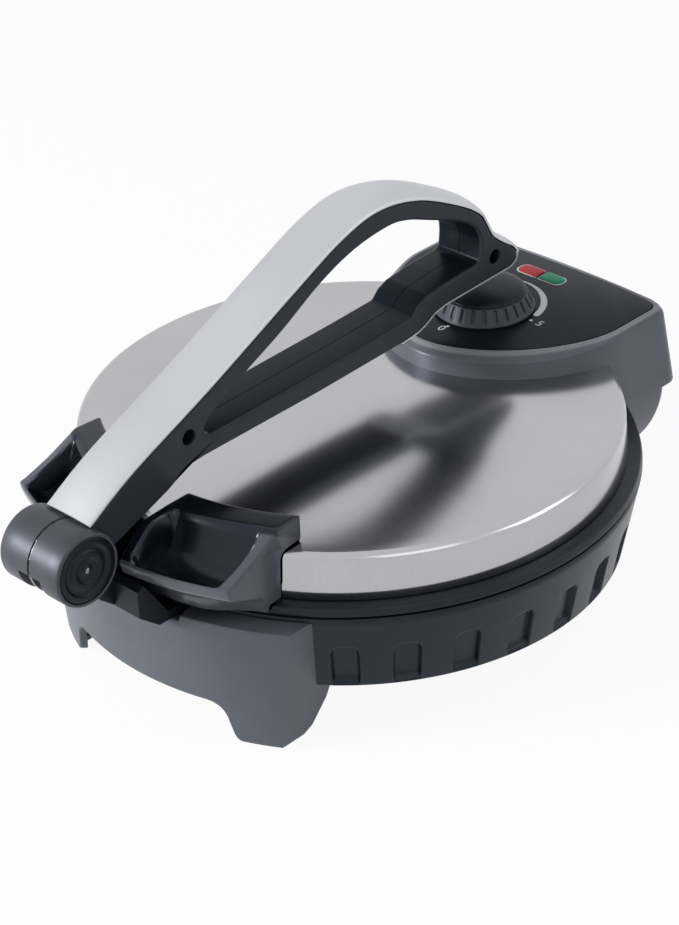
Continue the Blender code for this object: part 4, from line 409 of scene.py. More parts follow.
def mapped(tree, value, low, high, start=0.0, stop=1.0):
    """Output of a new node that maps a range of values onto another."""
    return wire(tree, "ShaderNodeMapRange", [("Value", value), ("From Min", low), ("From Max", high),
                                             ("To Min", start), ("To Max", stop)]).outputs["Result"]


def mixed(tree, share, first, second):
    """Output of a new node that mixes two colours."""
    return wire(tree, "ShaderNodeMix", [(0, share), (6, first), (7, second)], data_type="RGBA").outputs[2]


def varied(tree, given, value):
    """The group's roughness, made to vary with a noise by its spread."""
    drift = maths(tree, "SUBTRACT", value, 0.5)
    return maths(tree, "MULTIPLY_ADD", drift, given["Spread"], given["Roughness"])


def join(tree, sockets, **values):
    """Links outputs to the sockets of the same names."""
    for label, value in values.items():
        tree.links.new(value, sockets[label])


SURFACE_INPUTS = (("Colour", "Color", (0.02, 0.02, 0.02, 1)), ("Tint", "Color", (0.03, 0.03, 0.03, 1)),
                  ("Roughness", "Float", 0.4), ("Spread", "Float", 0.1))
SURFACE_OUTPUTS = (("Colour", "Color"), ("Roughness", "Float"), ("Height", "Float"))


def moulded_grain():
    """Moulded plastic: fine pitted grain, slow colour drift and slightly polished patches."""
    inputs = SURFACE_INPUTS + (("Grain", "Float", 2600.0),)
    tree, given, result = new_group("moulded grain", inputs, SURFACE_OUTPUTS)
    place = wire(tree, "ShaderNodeTexCoord").outputs["Object"]
    drift = noise(tree, place, 26.0, 4.0)
    pits = maths(tree, "MULTIPLY", noise(tree, place, given["Grain"], 3.0, 0.6), 0.6)
    join(tree, result, Colour=mixed(tree, mapped(tree, drift, 0.35, 0.7), given["Colour"], given["Tint"]),
         Roughness=varied(tree, given, noise(tree, place, 90.0, 5.0)),
         Height=maths(tree, "MULTIPLY_ADD", drift, 0.4, pits))
    return tree


def brushed_finish():
    """Brushed metal: noise drawn out into long strokes, with a slow cloud over the whole sheet."""
    inputs = SURFACE_INPUTS + (("Strokes", "Vector", (3000.0, 40.0, 40.0)),)
    tree, given, result = new_group("brushed finish", inputs, SURFACE_OUTPUTS)
    place = wire(tree, "ShaderNodeTexCoord").outputs["Object"]
    drawn = wire(tree, "ShaderNodeVectorMath", [(0, place), (1, given["Strokes"])], operation="MULTIPLY")
    stroke = noise(tree, drawn.outputs[0], 1.0, 6.0, 0.7)
    blend = maths(tree, "MULTIPLY_ADD", stroke, 0.6, noise(tree, place, 14.0, 3.0))
    join(tree, result, Colour=mixed(tree, mapped(tree, blend, 0.5, 1.1), given["Colour"], given["Tint"]),
         Roughness=varied(tree, given, stroke), Height=stroke)
    return tree


def painted_light_zone():
    """Painted light and shade: a second colour beyond a distance from the middle along one direction,
    standing in for the light and shade that fall on those faces.
    """
    tree, given, result = new_group("zone tone", (
        ("Colour", "Color", (0.02, 0.02, 0.02, 1)), ("Zone", "Color", (0.05, 0.05, 0.05, 1)),
        ("Direction", "Vector", (1.0, 0.0, 0.0)), ("Start", "Float", 0.010), ("Stop", "Float", 0.011)),
        (("Colour", "Color"),))
    place = wire(tree, "ShaderNodeTexCoord").outputs["Object"]
    along = wire(tree, "ShaderNodeVectorMath", [(0, place), (1, given["Direction"])], operation="DOT_PRODUCT")
    reach = maths(tree, "ABSOLUTE", along.outputs["Value"])
    share = mapped(tree, reach, given["Start"], given["Stop"])
    join(tree, result, Colour=mixed(tree, share, given["Colour"], given["Zone"]))
    return tree


GROUPS = {"moulded grain": moulded_grain, "brushed finish": brushed_finish, "zone tone": painted_light_zone}


def grouped(tree, group, links):
    """Adds one of the shared groups, which is made when it is first asked for."""
    return wire(tree, "ShaderNodeGroup", links, node_tree=bpy.data.node_groups.get(group) or GROUPS[group]())


def opaque(colour, scale=1.0):
    """A colour setting as four values, made a little lighter or darker."""
    return tuple(min(1.0, value * scale) for value in colour) + (1.0,)


def colours():
    """The colour settings of the scene."""
    return bpy.context.scene.roti_maker_colours


BLUE_GLOSS = (0.76, 0.84, 1.0, 1.0)
PLASTIC = {"group": "moulded grain", "detail": ("Grain", 2600.0), "rough": 0.38, "spread": 0.10,
           "depth": 0.00001, "tint": 1.25, "level": 0.32}
LENS = dict(PLASTIC, rough=0.30, level=0.18, detail=("Grain", 700.0), tint=1.35)
METAL = {"group": "brushed finish", "rough": 0.3, "spread": 0.12, "depth": 0.000004, "tint": 0.9}
FINISHES = {
    "bowl_plastic": dict(PLASTIC, colour="bowl", rough=0.32, level=0.30),
    "black_plastic": dict(PLASTIC, colour="black", rough=0.34, level=0.22),
    "ring_plastic": dict(PLASTIC, colour="ring", rough=0.36, level=0.28),
    "apron_plastic": dict(PLASTIC, colour="apron", rough=0.36, level=0.45),
    "box_plastic": dict(PLASTIC, colour="box", rough=0.34, level=0.35),
    "grip_plastic": dict(PLASTIC, colour="grip", rough=0.20, level=0.40),
    "panel_plastic": dict(PLASTIC, colour="panel", rough=0.30, level=0.12, detail=("Grain", 3600.0)),
    "knob_plastic": dict(PLASTIC, colour="knob", rough=0.36, level=0.15),
    "lever_plastic": dict(PLASTIC, colour="lever", rough=0.30, level=0.10),
    "hub_plastic": dict(PLASTIC, colour="hub", rough=0.44, level=0.60),
    "soft_rubber": dict(PLASTIC, colour="black", rough=0.75, depth=0.00003),
    "coated_plate": dict(PLASTIC, colour="coating", rough=0.46, level=0.5, detail=("Grain", 900.0),
                         depth=0.00002, tint=1.5),
    "red_lens": dict(LENS, colour="red_lens"),
    "green_lens": dict(LENS, colour="green_lens"),
    "dial_print": dict(PLASTIC, colour="dial_print", rough=0.5, detail=("Grain", 4000.0), depth=0.000003,
                       tint=0.9),
    "brushed_steel": dict(METAL, colour="steel", rough="steel_roughness", spread=0.10,
                          detail=("Strokes", (90.0, 2600.0, 90.0))),
    "brushed_strip": dict(METAL, colour="strip", rough=0.50, spread=0.16, depth=0.000008, tint=0.86,
                          detail=("Strokes", (2600.0, 60.0, 60.0))),
    "sheet_steel": dict(METAL, colour="sheet", rough=0.42, detail=("Strokes", (1200.0, 1200.0, 1200.0))),
    "element_steel": dict(METAL, colour="element", rough=0.5, detail=("Strokes", (700.0, 700.0, 700.0))),
    "screw_steel": dict(METAL, colour="sheet", rough=0.32, detail=("Strokes", (1800.0, 1800.0, 200.0))),
}
# Painted light and shade as second colours (a highlight on the box's rim, shade on the knob's top, lit sides
# of the lever, lit outer faces of the grips): the colour alone where a share is kept with the points, else
# its direction and span
PAINTED_LIGHT_ZONES = {
    "box_plastic": ("box_rim_highlight", (0, 0, 1), 0.0970, 0.0976),
    "knob_plastic": ("knob_top_shade", (0, 0, 1), 0.1066, 0.1069),
    "lever_plastic": ("lever_side_light", (1, 0, 0), LEVER_HALF - 0.0015, LEVER_HALF - 0.0008),
    "grip_plastic": ("grip_shell",),
}


def look(name):
    """Principled material of one finish, fed by its surface group and, where it has one, its zone of painted
    light and shade.
    """
    title = name.replace("_", " ") + " finish"
    if title in bpy.data.materials:
        return bpy.data.materials[title]
    values = FINISHES[name]
    colour = getattr(colours(), values["colour"])
    rough = colours().steel_roughness if values["rough"] == "steel_roughness" else values["rough"]
    material = bpy.data.materials.new(title)
    material.use_nodes = True
    tree = material.node_tree
    shader = tree.nodes["Principled BSDF"].inputs
    surface = grouped(tree, values["group"], [
        ("Colour", opaque(colour)), ("Tint", opaque(colour, values["tint"])), ("Roughness", rough),
        ("Spread", values["spread"]), values["detail"]]).outputs
    bump = wire(tree, "ShaderNodeBump", [("Height", surface["Height"]), ("Strength", 1.0),
                                         ("Distance", values["depth"])])
    tone = surface["Colour"]
    # Painted light and shade over the finish's own colour
    if name in PAINTED_LIGHT_ZONES:
        zone, *span = PAINTED_LIGHT_ZONES[name]
        zone = opaque(getattr(colours(), zone))
        if span:
            tone = grouped(tree, "zone tone", [("Colour", tone), ("Zone", zone), ("Direction", span[0]),
                                               ("Start", span[1]), ("Stop", span[2])]).outputs["Colour"]
        else:
            share = wire(tree, "ShaderNodeAttribute", attribute_name="share")
            tone = mixed(tree, share.outputs["Fac"], tone, zone)
    tree.links.new(tone, shader["Base Color"])
    join(tree, shader, Roughness=surface["Roughness"], Normal=bump.outputs["Normal"])
    if values["group"] == "brushed finish":
        shader["Metallic"].default_value = 1.0
    else:
        shader["Specular IOR Level"].default_value = values["level"]
        shader["Specular Tint"].default_value = BLUE_GLOSS
    return material


# Base


def bowl_radius(z):
    """Radius of the bowl's wall at a height."""
    return BASE_FOOT_RADIUS + (BASE_RIM_RADIUS - BASE_FOOT_RADIUS) * (z - BASE_LOW_Z) / (RIM_Z - BASE_LOW_Z)


def flute_mask(angle, z, sizes):
    """Share of the flutes' depth at an angle and height.

    Across the wall each flute is a slot with a rounded top; the mask is a smooth step of the distance
    inside the slot's outline, so that the flute has soft edges and a flat floor. It runs out just
    above the bowl's lower edge.
    """
    pitch = math.radians(sizes.flute_pitch)
    each = (sizes.flutes_each_side - 1) / 2
    away = np.angle(np.exp(1j * (angle - np.where(np.cos(angle) >= 0, 0.0, math.pi))))
    nearest = np.clip(np.round(away / pitch), -each, each)
    corner = sizes.flute_corner
    dx = np.maximum(np.abs(away - nearest * pitch) * BASE_FOOT_RADIUS - (sizes.flute_width / 2 - corner), 0)
    dz = np.maximum(z - (sizes.flute_top - corner), 0)
    inside = corner - np.hypot(dx, dz)
    return ease(inside / sizes.flute_edge + 0.25) * ease((z - BASE_LOW_Z - 0.0005) / 0.0035)


def bowl_surface(sizes):
    """The bowl: a profile turned about the axis, whose wall rows sink in at the flutes by the mask."""
    repeats = 30
    pitch = 2 * math.pi / repeats
    local = spans((-0.5, -0.27, 5), (-0.27, -0.13, 12), (-0.13, 0.13, 7), (0.13, 0.27, 12), (0.27, 0.5, 5))
    angles = ((np.arange(repeats)[:, None] + local[None, :]) * pitch).reshape(-1)
    ledge, top, low = RIM_Z - WELL_DEPTH, sizes.flute_top, BASE_LOW_Z
    wall_z = np.concatenate([np.linspace(*span) for span in (
        (RIM_Z - 0.0012, top + 0.001, 6), (top + 0.0006, top - 0.0055, 14), (top - 0.008, low + 0.0045, 5),
        (low + 0.0036, low + 0.0006, 5))])
    before = [(WELL_RADIUS, ledge), (WELL_RADIUS, RIM_Z - 0.0004), (WELL_RADIUS + 0.0004, RIM_Z),
              (BASE_RIM_RADIUS - 0.0016, RIM_Z), (BASE_RIM_RADIUS - 0.0007, RIM_Z - 0.0002)]
    foot, hem, wall = BASE_FOOT_RADIUS - 0.0006, BASE_FOOT_RADIUS - 0.0042, BASE_FOOT_RADIUS - 0.0070
    after = [(foot, low), (hem, low), (hem, low + 0.0030), (wall, low + 0.0030), (wall, ledge),
             (WELL_RADIUS, ledge)]
    profile = np.array(before + [(bowl_radius(z), z) for z in wall_z] + after)
    depth = np.zeros((len(profile), 1))
    depth[len(before):len(before) + len(wall_z) + 1] = sizes.flute_depth
    return shell(turned(profile, angles, sink=depth * flute_mask(angles[None, :], profile[:, 1:2], sizes)))


def apron_plan(z, share, grow=0.0):
    """Plan of the apron at a height: share runs -2..-1 along the left side, -1..1 round the front arc
    and 1..2 along the right side."""
    lift = z / APRON_TOP_Z
    radius, half = [low + (high - low) * lift + grow for low, high in (APRON_RADIUS, APRON_HALF)]
    turn = np.clip(share, -1, 1) * np.arcsin(half / radius)
    side = np.clip(np.abs(share) - 1, 0, 1)
    x, y = radius * np.sin(turn), -radius * np.cos(turn)
    return x, y + side * (APRON_SIDE_Y - y)


def apron_surface(sizes):
    """The apron's wall: its plan is carried up from the arched lower edge, round the top edge and
    along the deck to the bowl, then back down inside."""
    half = np.append(spans((0, 0.36, 6), (0.36, 0.375, 4), (0.375, 0.49, 6), (0.49, 0.79, 34),
                           (0.79, 0.975, 8), (0.975, 1.0, 5), (1.0, 1.12, 6)), np.linspace(1.12, 2.0, 16))
    share = np.concatenate([-half[::-1], half[1:]])
    x, y = apron_plan(np.full_like(share, 0.008), share)
    reach = np.abs(x)
    heel, arch = np.array(APRON_HEEL).T, np.array(APRON_ARCH).T
    low = np.where(np.abs(share) > 1, np.interp(y, *heel), np.interp(reach, *arch))
    notch = 1 - ease((reach - sizes.notch_half) / 0.0006)
    top = APRON_TOP_Z - 0.0030 * notch
    edge, round_edge = sizes.moulding_edge, bend(4)[:3]
    rows = [(-edge * draw, low + edge * rise) for rise, draw in round_edge]
    rows += [(0, low + edge + (top - low - 2 * edge) * part) for part in (0, *np.linspace(0.02, 0.98, 12), 1)]
    rows += [(-edge * draw, top - edge * rise) for rise, draw in round_edge[::-1]]
    points = [np.stack([*apron_plan(z, share, grow), z], -1) for grow, z in rows]
    outer_x, outer_y = apron_plan(top, share, -edge)
    length = np.hypot(outer_x, outer_y)
    bowl = np.minimum(bowl_radius(APRON_TOP_Z) - 0.0015, length - APRON_WALL)
    inner = np.where(notch > 0.5, length - APRON_WALL, bowl) / length
    points += [np.stack([outer_x * inner, outer_y * inner, height], -1) for height in (top, top - APRON_WALL)]
    points += [np.stack([*apron_plan(z, share, -APRON_WALL), z], -1)
               for z in (top - APRON_WALL, low + edge, low)]
    return shell(np.stack(points, 1), caps=True)


def sole_surface(side):
    """Floor of one apron foot: the plan between arch, front, side and heel, a few millimetres thick."""
    x = np.linspace(0.0506, 0.0640, 8)
    front = np.stack([side * x, -np.sqrt(0.1282 ** 2 - x ** 2)], -1)
    back = np.stack([side * x[::-1], np.full(8, -0.0990)], -1)
    return shell(pillow(np.concatenate([front, back]), 0.0016, 0.0042, 0.0003, 1), caps=True)


def housing_section(z, half, rear, corner, bow=0.0010):
    """Plan of the rear housing: straight front inside the bowl, rounded corners and a slightly bowed rear."""
    right = arc((half - corner, rear - bow - corner), corner, 0, 90, 8)
    share = np.linspace(0.8, -0.8, 9)
    middle = np.stack([share * (half - corner), rear - bow * share ** 2], -1)
    front = [(half * part, HOUSING_FRONT_Y) for part in (-1, -0.5, 0.5, 1)]
    return flat_section(np.concatenate([right, middle, right[::-1] * (-1, 1), front]), z)


def housing_surface():
    """Rear housing: its plan is drawn in towards the lower edge along a quarter ellipse."""
    edge = 0.0004
    rows = [housing_section(HOUSING_TOP_Z, HOUSING_HALF - edge, HOUSING_REAR_Y - edge, 0.0056)]
    for angle in np.linspace(0, math.pi / 2, 15):
        tuck = 1 - math.cos(angle)
        z = HOUSING_TOP_Z - edge - (HOUSING_TOP_Z - HOUSING_LOW_Z) * math.sin(angle)
        rows.append(housing_section(z, HOUSING_HALF - 0.0055 * tuck, HOUSING_REAR_Y - 0.0170 * tuck, 0.0060))
    return shell(np.stack(rows), caps=True)


def knuckles(low, high):
    """Two hinge knuckles, left and right: circles about the hinge axis with rounded ends, carried along x."""
    radius, edge = HINGE_RADIUS, 0.0004
    surfaces = []
    for start, stop in ((low, high), (-high, -low)):
        profile = [(0, start), (radius - edge, start), (radius, start + edge), (radius, stop - edge),
                   (radius - edge, stop), (0, stop)]
        surfaces.append(shell(across_x(turned(profile, ring_angles(32)), HINGE_Y, HINGE_Z)))
    return surfaces


def plate_surface(sign):
    """Cooking plate: its profile with a rounded rim and a skirt, turned about the axis."""
    face = (RIM_Z + FOOT_Z) / 2 + sign * 0.0005
    inside, back, low = PLATE_RADIUS - 0.0031, face + sign * 0.0050, face + sign * PLATE_DEPTH
    line = rounded([(0, face), (PLATE_RADIUS, face), (PLATE_RADIUS, low), (inside, low), (inside, back),
                    (0, back)], 0.0010)
    rings = [(PLATE_RADIUS * share, face) for share in np.linspace(0.1, 0.9, 9)]
    return shell(turned(np.concatenate([line[:1], rings, line[1:]]), ring_angles(160)))


# Lid


def lid_top(radius):
    """Height of the steel cover's low dome at a radius."""
    return EDGE_Z + 0.0020 * (1 - (radius / FLAT_RADIUS) ** 2)


def lid_surface():
    """Steel cover: a low dome, a rounded shoulder and a nearly upright wall, turned about the axis."""
    dome = [(FLAT_RADIUS * share, lid_top(FLAT_RADIUS * share)) for share in np.linspace(0, 1, 22)[:-1]]
    shoulder = arc((FLAT_RADIUS, EDGE_Z - SHOULDER_ROUND), SHOULDER_ROUND, 90, 2, 12)
    foot, thick = RING_TOP_Z + GAP, STEEL_THICKNESS
    splay, fall = WALL_RADIUS - SHOULDER_RADIUS, foot - WALL_TOP_Z
    wall = [(SHOULDER_RADIUS + splay * share, WALL_TOP_Z + fall * share) for share in (0.25, 0.5, 0.75)]
    hem = [(WALL_RADIUS, foot + 0.0003), (WALL_RADIUS - 0.0003, foot), (WALL_RADIUS - thick, foot),
           (SHOULDER_RADIUS - thick, WALL_TOP_Z), (FLAT_RADIUS, EDGE_Z - thick), (0, lid_top(0) - thick)]
    return shell(turned(np.concatenate([dome, shoulder, wall, hem]), ring_angles(256)))


def ring_surface():
    """Lid ring: an upright band with a narrow shelf under the steel cover, turned about the axis."""
    well, ledge, floor, wall = WELL_RADIUS, FOOT_Z + WELL_DEPTH, FOOT_Z + 0.0025, 0.0024
    inner, outer = RING_SHELF
    line = rounded([
        (well, FOOT_Z), (RING_RADIUS, FOOT_Z), (RING_RADIUS - 0.0007, RING_TOP_Z), (outer, RING_TOP_Z),
        (outer, RING_SHELF_Z), (inner, RING_SHELF_Z), (inner, floor), (well + wall, floor),
        (well + wall, ledge + wall), (well - 0.0060, ledge + wall), (well - 0.0060, ledge), (well, ledge),
        (well, FOOT_Z)], 0.0007)
    return shell(turned(line, ring_angles(256)))


def grip_line(shares, foot_r=GRIP_FOOT_RADIUS):
    """Side view of a grip as radius and height: seat on the lid, ridge, scoop, lip and foot. Its
    corners are rounded, but the seat keeps the lid's shape."""
    ridge, lip = np.array(GRIP_RIDGE), np.array(GRIP_LIP)
    scoop = ridge + np.array(shares, float) * (lip[0] - ridge[0], GRIP_SCOOP_Z - ridge[1])
    foot, band = FOOT_Z + GAP, RING_RADIUS + GAP
    seat_top = (GRIP_SEAT_RADIUS, lid_top(GRIP_SEAT_RADIUS) + GAP)
    lip_start = lip - (0.0014, 0)
    top = np.concatenate([scoop[:1], smooth_line(scoop[1:], 10), [lip_start]])
    front = [lip_start, lip, lip - (0.0012, 0.0058), (foot_r + 0.0036, 0.0715), (foot_r, foot)]
    shoulder = arc((FLAT_RADIUS, EDGE_Z - SHOULDER_ROUND), SHOULDER_ROUND + GAP, 0, 90, 6)
    seat = np.concatenate([[(foot_r, foot), (band, foot), (band, RING_TOP_Z + GAP),
                            (WALL_RADIUS + GAP, RING_TOP_Z + GAP)], shoulder, [seat_top]])
    ridge_start, seat_count = (GRIP_SEAT_RADIUS, ridge[1]), 70
    parts = (([seat_top, ridge_start], 24), ([ridge_start, ridge], 24), (top, 90), (front, 60),
             (seat, seat_count))
    line = np.concatenate([even_line(part, count)[:-1] for part, count in parts])
    keep = ease((np.arange(len(line)) - (len(line) - seat_count + 1)) / 6)[:, None]
    return softened(line, 2) * (1 - keep) + line * keep


def grip_surface(side, sizes):
    """Grip: its side view is carried round the lid; near its ends the scoop rises into the cheeks and the
    outline is drawn in along a quarter circle. The second value is each point's share of painted light: a
    lighter colour on the front faces and the far cheek, beyond the scoop, that stands in for light falling on
    them."""
    inner, outer = GRIP_SPAN
    scoop, near = grip_line(SCOOP), grip_line(INNER_CHEEK)
    narrow, far = [grip_line(shares, GRIP_DRAWN_FOOT) for shares in (SCOOP, OUTER_CHEEK)]
    edge = sizes.grip_edge
    rise, draw = np.array(bend(5)).T * edge
    middle = np.linspace(inner + edge, outer - edge, 46)[1:-1]
    stations = np.concatenate([inner + rise, middle, outer - rise[::-1]])
    inset = np.concatenate([draw, np.zeros(44), draw[::-1]])
    to_near = 1 - ease((stations - inner - sizes.cheek_width) / CHEEK_SLOPE)
    to_far = ease((stations - outer + sizes.cheek_width + CHEEK_SLOPE) / CHEEK_SLOPE)
    to_end = ease((stations - 0.036) / 0.022)
    rows = []
    for x, draw, a, b, c in zip(stations, inset, to_near, to_far, to_end):
        line = (scoop * (1 - c) + narrow * c) * (1 - a) * (1 - b) + near * a + far * b
        line = line + outward(line) * draw
        back = GRIP_LIP[0] - np.sqrt(line[:, 0] ** 2 - x ** 2)
        place = x - math.tan(GRIP_SLANT) * x / outer * (back - 0.0140)
        rows.append(np.stack([side * place, -np.sqrt(line[:, 0] ** 2 - place ** 2), line[:, 1]], -1))
    column, lip_column, scoop_column = np.arange(len(scoop)), 133, 52
    # Painted light: the front faces past the lip and the far cheek get the lighter shell colour, as if lit
    painted_light_share = ease((column - lip_column) / 3) + ease((column - scoop_column) / 4) * to_far[:, None]
    return shell(np.stack(rows), caps=True), np.minimum(painted_light_share, 1).ravel()


def signed_power(value, power):
    """Power of a value's size, with the value's sign."""
    return np.sign(value) * np.abs(value) ** power


def box_outline(half, nose, rear, power, inset, count=280):
    """Plan of the control box: a superellipse nose and a bowed rear edge with rounded corners."""
    half, nose, rear = half - inset, nose - inset, rear - inset
    corner, bow = 0.0055, 0.0030
    right = arc((half - corner, rear - bow - corner), corner, 0, 90, 10)
    share = np.linspace(0.88, -0.88, 15)
    middle = np.stack([half * share, rear - bow * share ** 2], -1)
    angle = np.linspace(math.pi, 2 * math.pi, 160)
    front = np.stack([half * signed_power(np.cos(angle), 2 / power),
                      BOX_CENTRE_Y + nose * signed_power(np.sin(angle), 2 / power)], -1)
    return even_line(np.concatenate([right, middle, right[::-1] * (-1, 1), front]), count, closed=True)


# Print of the dial: dots as x, y and radius, and its numbers with their places
DOTS = ((0.0239, 0.0892, 0.0008), (-0.0002, 0.0620, 0.0007))
NUMBERS = (("0", -0.0012, 0.0590), ("5", 0.0287, 0.0892))
# Half width, reach of the nose, rear edge and power of the superellipse
BOX_TOP = (0.0590, 0.0620, 0.1405, 1.70)
BOX_EDGE = (0.0604, 0.0662, 0.1422, 1.85)
BOX_FOOT = (0.0655, 0.0665, 0.1440, 1.85)


def box_surface(sizes):
    """Control box: its plan rises from the lid or the parting line, leans in, bends over the bevel and
    turns down inside the rim; the seat under the panel closes it."""
    edge_z, panel_seat = BOX_TOP_Z - 0.0030, 0.0044
    foot, edge, top = [box_outline(*plan, 0) for plan in (BOX_FOOT, BOX_EDGE, BOX_TOP)]
    radius = np.hypot(foot[:, 0], foot[:, 1])
    shoulder, seat = 0.1120, RING_RADIUS + GAP
    on_lid = lid_top(np.minimum(radius, shoulder)) - 0.0006
    slope = ease((radius - 0.1135) / 0.0045)
    on_ring = lid_top(shoulder) - 0.0006 - slope * (lid_top(shoulder) - RING_TOP_Z)
    low = np.where(radius < RING_RADIUS, on_ring, FOOT_Z)
    low = np.where(radius < shoulder, on_lid, low)
    floor = foot * np.where(radius > seat, seat / radius, 0.985)[:, None]
    rows = [np.concatenate([floor, low[:, None]], 1)]
    for share in (0.0, 0.02, 0.2, 0.4, 0.6, 0.8, 0.93):
        lift = low + (edge_z - low) * share
        plan = foot + (edge - foot) * ((lift - FOOT_Z) / (edge_z - FOOT_Z))[:, None]
        if share == 0.0:
            plan = plan * (1 - 0.0004 / radius[:, None])
        rows.append(np.concatenate([plan, lift[:, None]], 1))
    reach = 0.0011
    wall_in = edge + (foot - edge) * (reach / (edge_z - FOOT_Z))
    rim = box_outline(*BOX_TOP, sizes.panel_rim)
    bends = (
        ((wall_in, edge, edge + (top - edge) * 0.30), (edge_z - reach, edge_z, edge_z + 0.0009), 4),
        ((edge + (top - edge) * 0.86, top, top + (rim - top) * 0.35),
         (BOX_TOP_Z - 0.0004, BOX_TOP_Z, BOX_TOP_Z), 3))
    for plans, heights, steps in bends:
        rows += [flat_section(plan, z) for plan, z in zip(parabola(*plans, steps), parabola(*heights, steps))]
    for plan, drop in ((top + (rim - top) * 0.75, 0.0), (rim, 0.0002), (rim, 0.0023),
                       (box_outline(*BOX_TOP, panel_seat), 0.0024)):
        rows.append(flat_section(plan, BOX_TOP_Z - drop))
    return shell(np.stack(rows), caps=True)


def panel_surface(sizes):
    """Control panel: the box's top plan drawn in by the rim and a gap, with a softly rounded edge."""
    outline = box_outline(*BOX_TOP, sizes.panel_rim + GAP)
    return shell(pillow(outline, BOX_TOP_Z - 0.0020, BOX_TOP_Z, 0.0003), caps=True)


def lens_plan(side, grow):
    """Plan of a lens: half of a long slot with a round outer end and a nearly straight inner one."""
    half, depth = LENS_HALF + grow, LENS_HALF_DEPTH + grow
    bend_out, bend_in = min(LENS_BEND, depth - 0.0002), LENS_INNER_BEND
    outer = arc((half - bend_out, depth - bend_out), bend_out, 0, 90, 8)
    inner = arc((bend_in - LENS_HALF - min(grow, 0.0), depth - bend_in), bend_in, 90, 180, 4)
    plan = np.concatenate([outer, inner, inner[::-1] * (1, -1), outer[::-1] * (1, -1)])
    return plan * (side, 1) + (side * LENS_PLACE + LENS_MIDDLE_X, LENS_Y)


def lens_surface(side):
    """Lamp lens: its plan rises and bulges by a quarter of an ellipse over its top."""
    rows = [flat_section(lens_plan(side, 0.0), BOX_TOP_Z - 0.0045)]
    for angle in np.linspace(0, math.pi / 2, 8)[:-1]:
        rows.append(flat_section(lens_plan(side, -0.0008 * (1 - math.cos(angle))),
                                 BOX_TOP_Z + 0.0001 + 0.0005 * math.sin(angle)))
    return shell(np.stack(rows), caps=True)


def lens_frame(side):
    """Printed outline round a lens: a flat band between two plans, just above the panel."""
    rows = [flat_section(lens_plan(side, grow), BOX_TOP_Z + lift)
            for grow, lift in ((0.0001, 0.0), (0.0001, PRINT_RISE), (0.0006, PRINT_RISE), (0.0006, 0.0))]
    return shell(np.stack(rows), wrap_rows=True)


def dial_band(sizes):
    """Temperature scale: a band inside a circle that hugs the knob, widening by a smooth step and
    rounded at its end."""
    share = np.linspace(0, 1, 90)
    angle = np.radians(sizes.scale_start + (sizes.scale_end - sizes.scale_start) * share)
    width = 0.0009 + 0.0020 * ease(share * 1.5)
    end = np.sqrt(np.clip(1 - np.clip((share - 0.96) / 0.04, 0, 1) ** 2, 0.02, 1))
    rows = []
    for half, lift in ((-0.5, 0.0), (-0.5, PRINT_RISE), (0.5, PRINT_RISE), (0.5, 0.0)):
        radius = sizes.scale_radius - width / 2 + half * width * end
        rows.append(np.stack([radius * np.cos(angle) - 0.0006, KNOB_Y + 0.0054 + radius * np.sin(angle),
                              np.full(90, BOX_TOP_Z + lift)], -1))
    return shell(np.stack(rows, 1), caps=True)


def dot_surface(x, y, radius):
    """Printed dot: a very low disc."""
    top = BOX_TOP_Z + PRINT_RISE
    profile = [(0, top), (radius, top), (radius, BOX_TOP_Z), (0, BOX_TOP_Z)]
    return shell(turned(profile, ring_angles(24), (x, y)))


def knob_surface(sizes):
    """Knob: a sloping skirt under a low dome, a quarter of an ellipse; the grooves sink in by a smooth
    step of the angle."""
    foot, wide, narrow = KNOB_FOOT_Z, KNOB_FOOT_RADIUS, KNOB_RIM_RADIUS
    rim, top = foot + KNOB_SKIRT, foot + KNOB_HEIGHT
    skirt = [(wide - (wide - narrow) * s, foot + KNOB_SKIRT * s) for s in np.linspace(0.06, 0.95, 16)]
    crown = [(narrow, rim), (narrow - 0.0003, rim + 0.0004)]
    dome = [((narrow - 0.0007) * math.cos(a), rim + 0.0005 + (top - rim - 0.0005) * math.sin(a))
            for a in np.linspace(0, math.pi / 2, 16)]
    under = [(0, foot + 0.0040), (0.0150, foot + 0.0040), (0.0206, foot + 0.0010), (0.0206, foot),
             (0.0224, foot)]
    profile = np.array(under + skirt + crown + dome)[::-1]
    steps = sizes.knob_grooves * 16
    groove = ease((0.20 - np.abs((np.arange(steps) % 16) / 16 - 0.5)) / 0.08)
    height = profile[:, 1] - foot
    window = ease((height - 0.0014) / 0.0008) * ease((0.0070 - height) / 0.0008) * (profile[:, 0] > 0.0185)
    sink = sizes.groove_depth * window[:, None] * groove[None, :]
    return shell(turned(profile, ring_angles(steps), (0, KNOB_Y), sink))


# Lever


def lever_places(shares):
    """Side-view places (y, z) of shares of the lever's reach and rise, from its axis."""
    return np.array([HUB_Y, HUB_Z]) + np.asarray(shares, float) * (LEVER_REACH, LEVER_RISE)


def lever_back_line():
    """Side view of the lever's back, as a smooth line."""
    return smooth_line(lever_places(LEVER_BACK), 12)


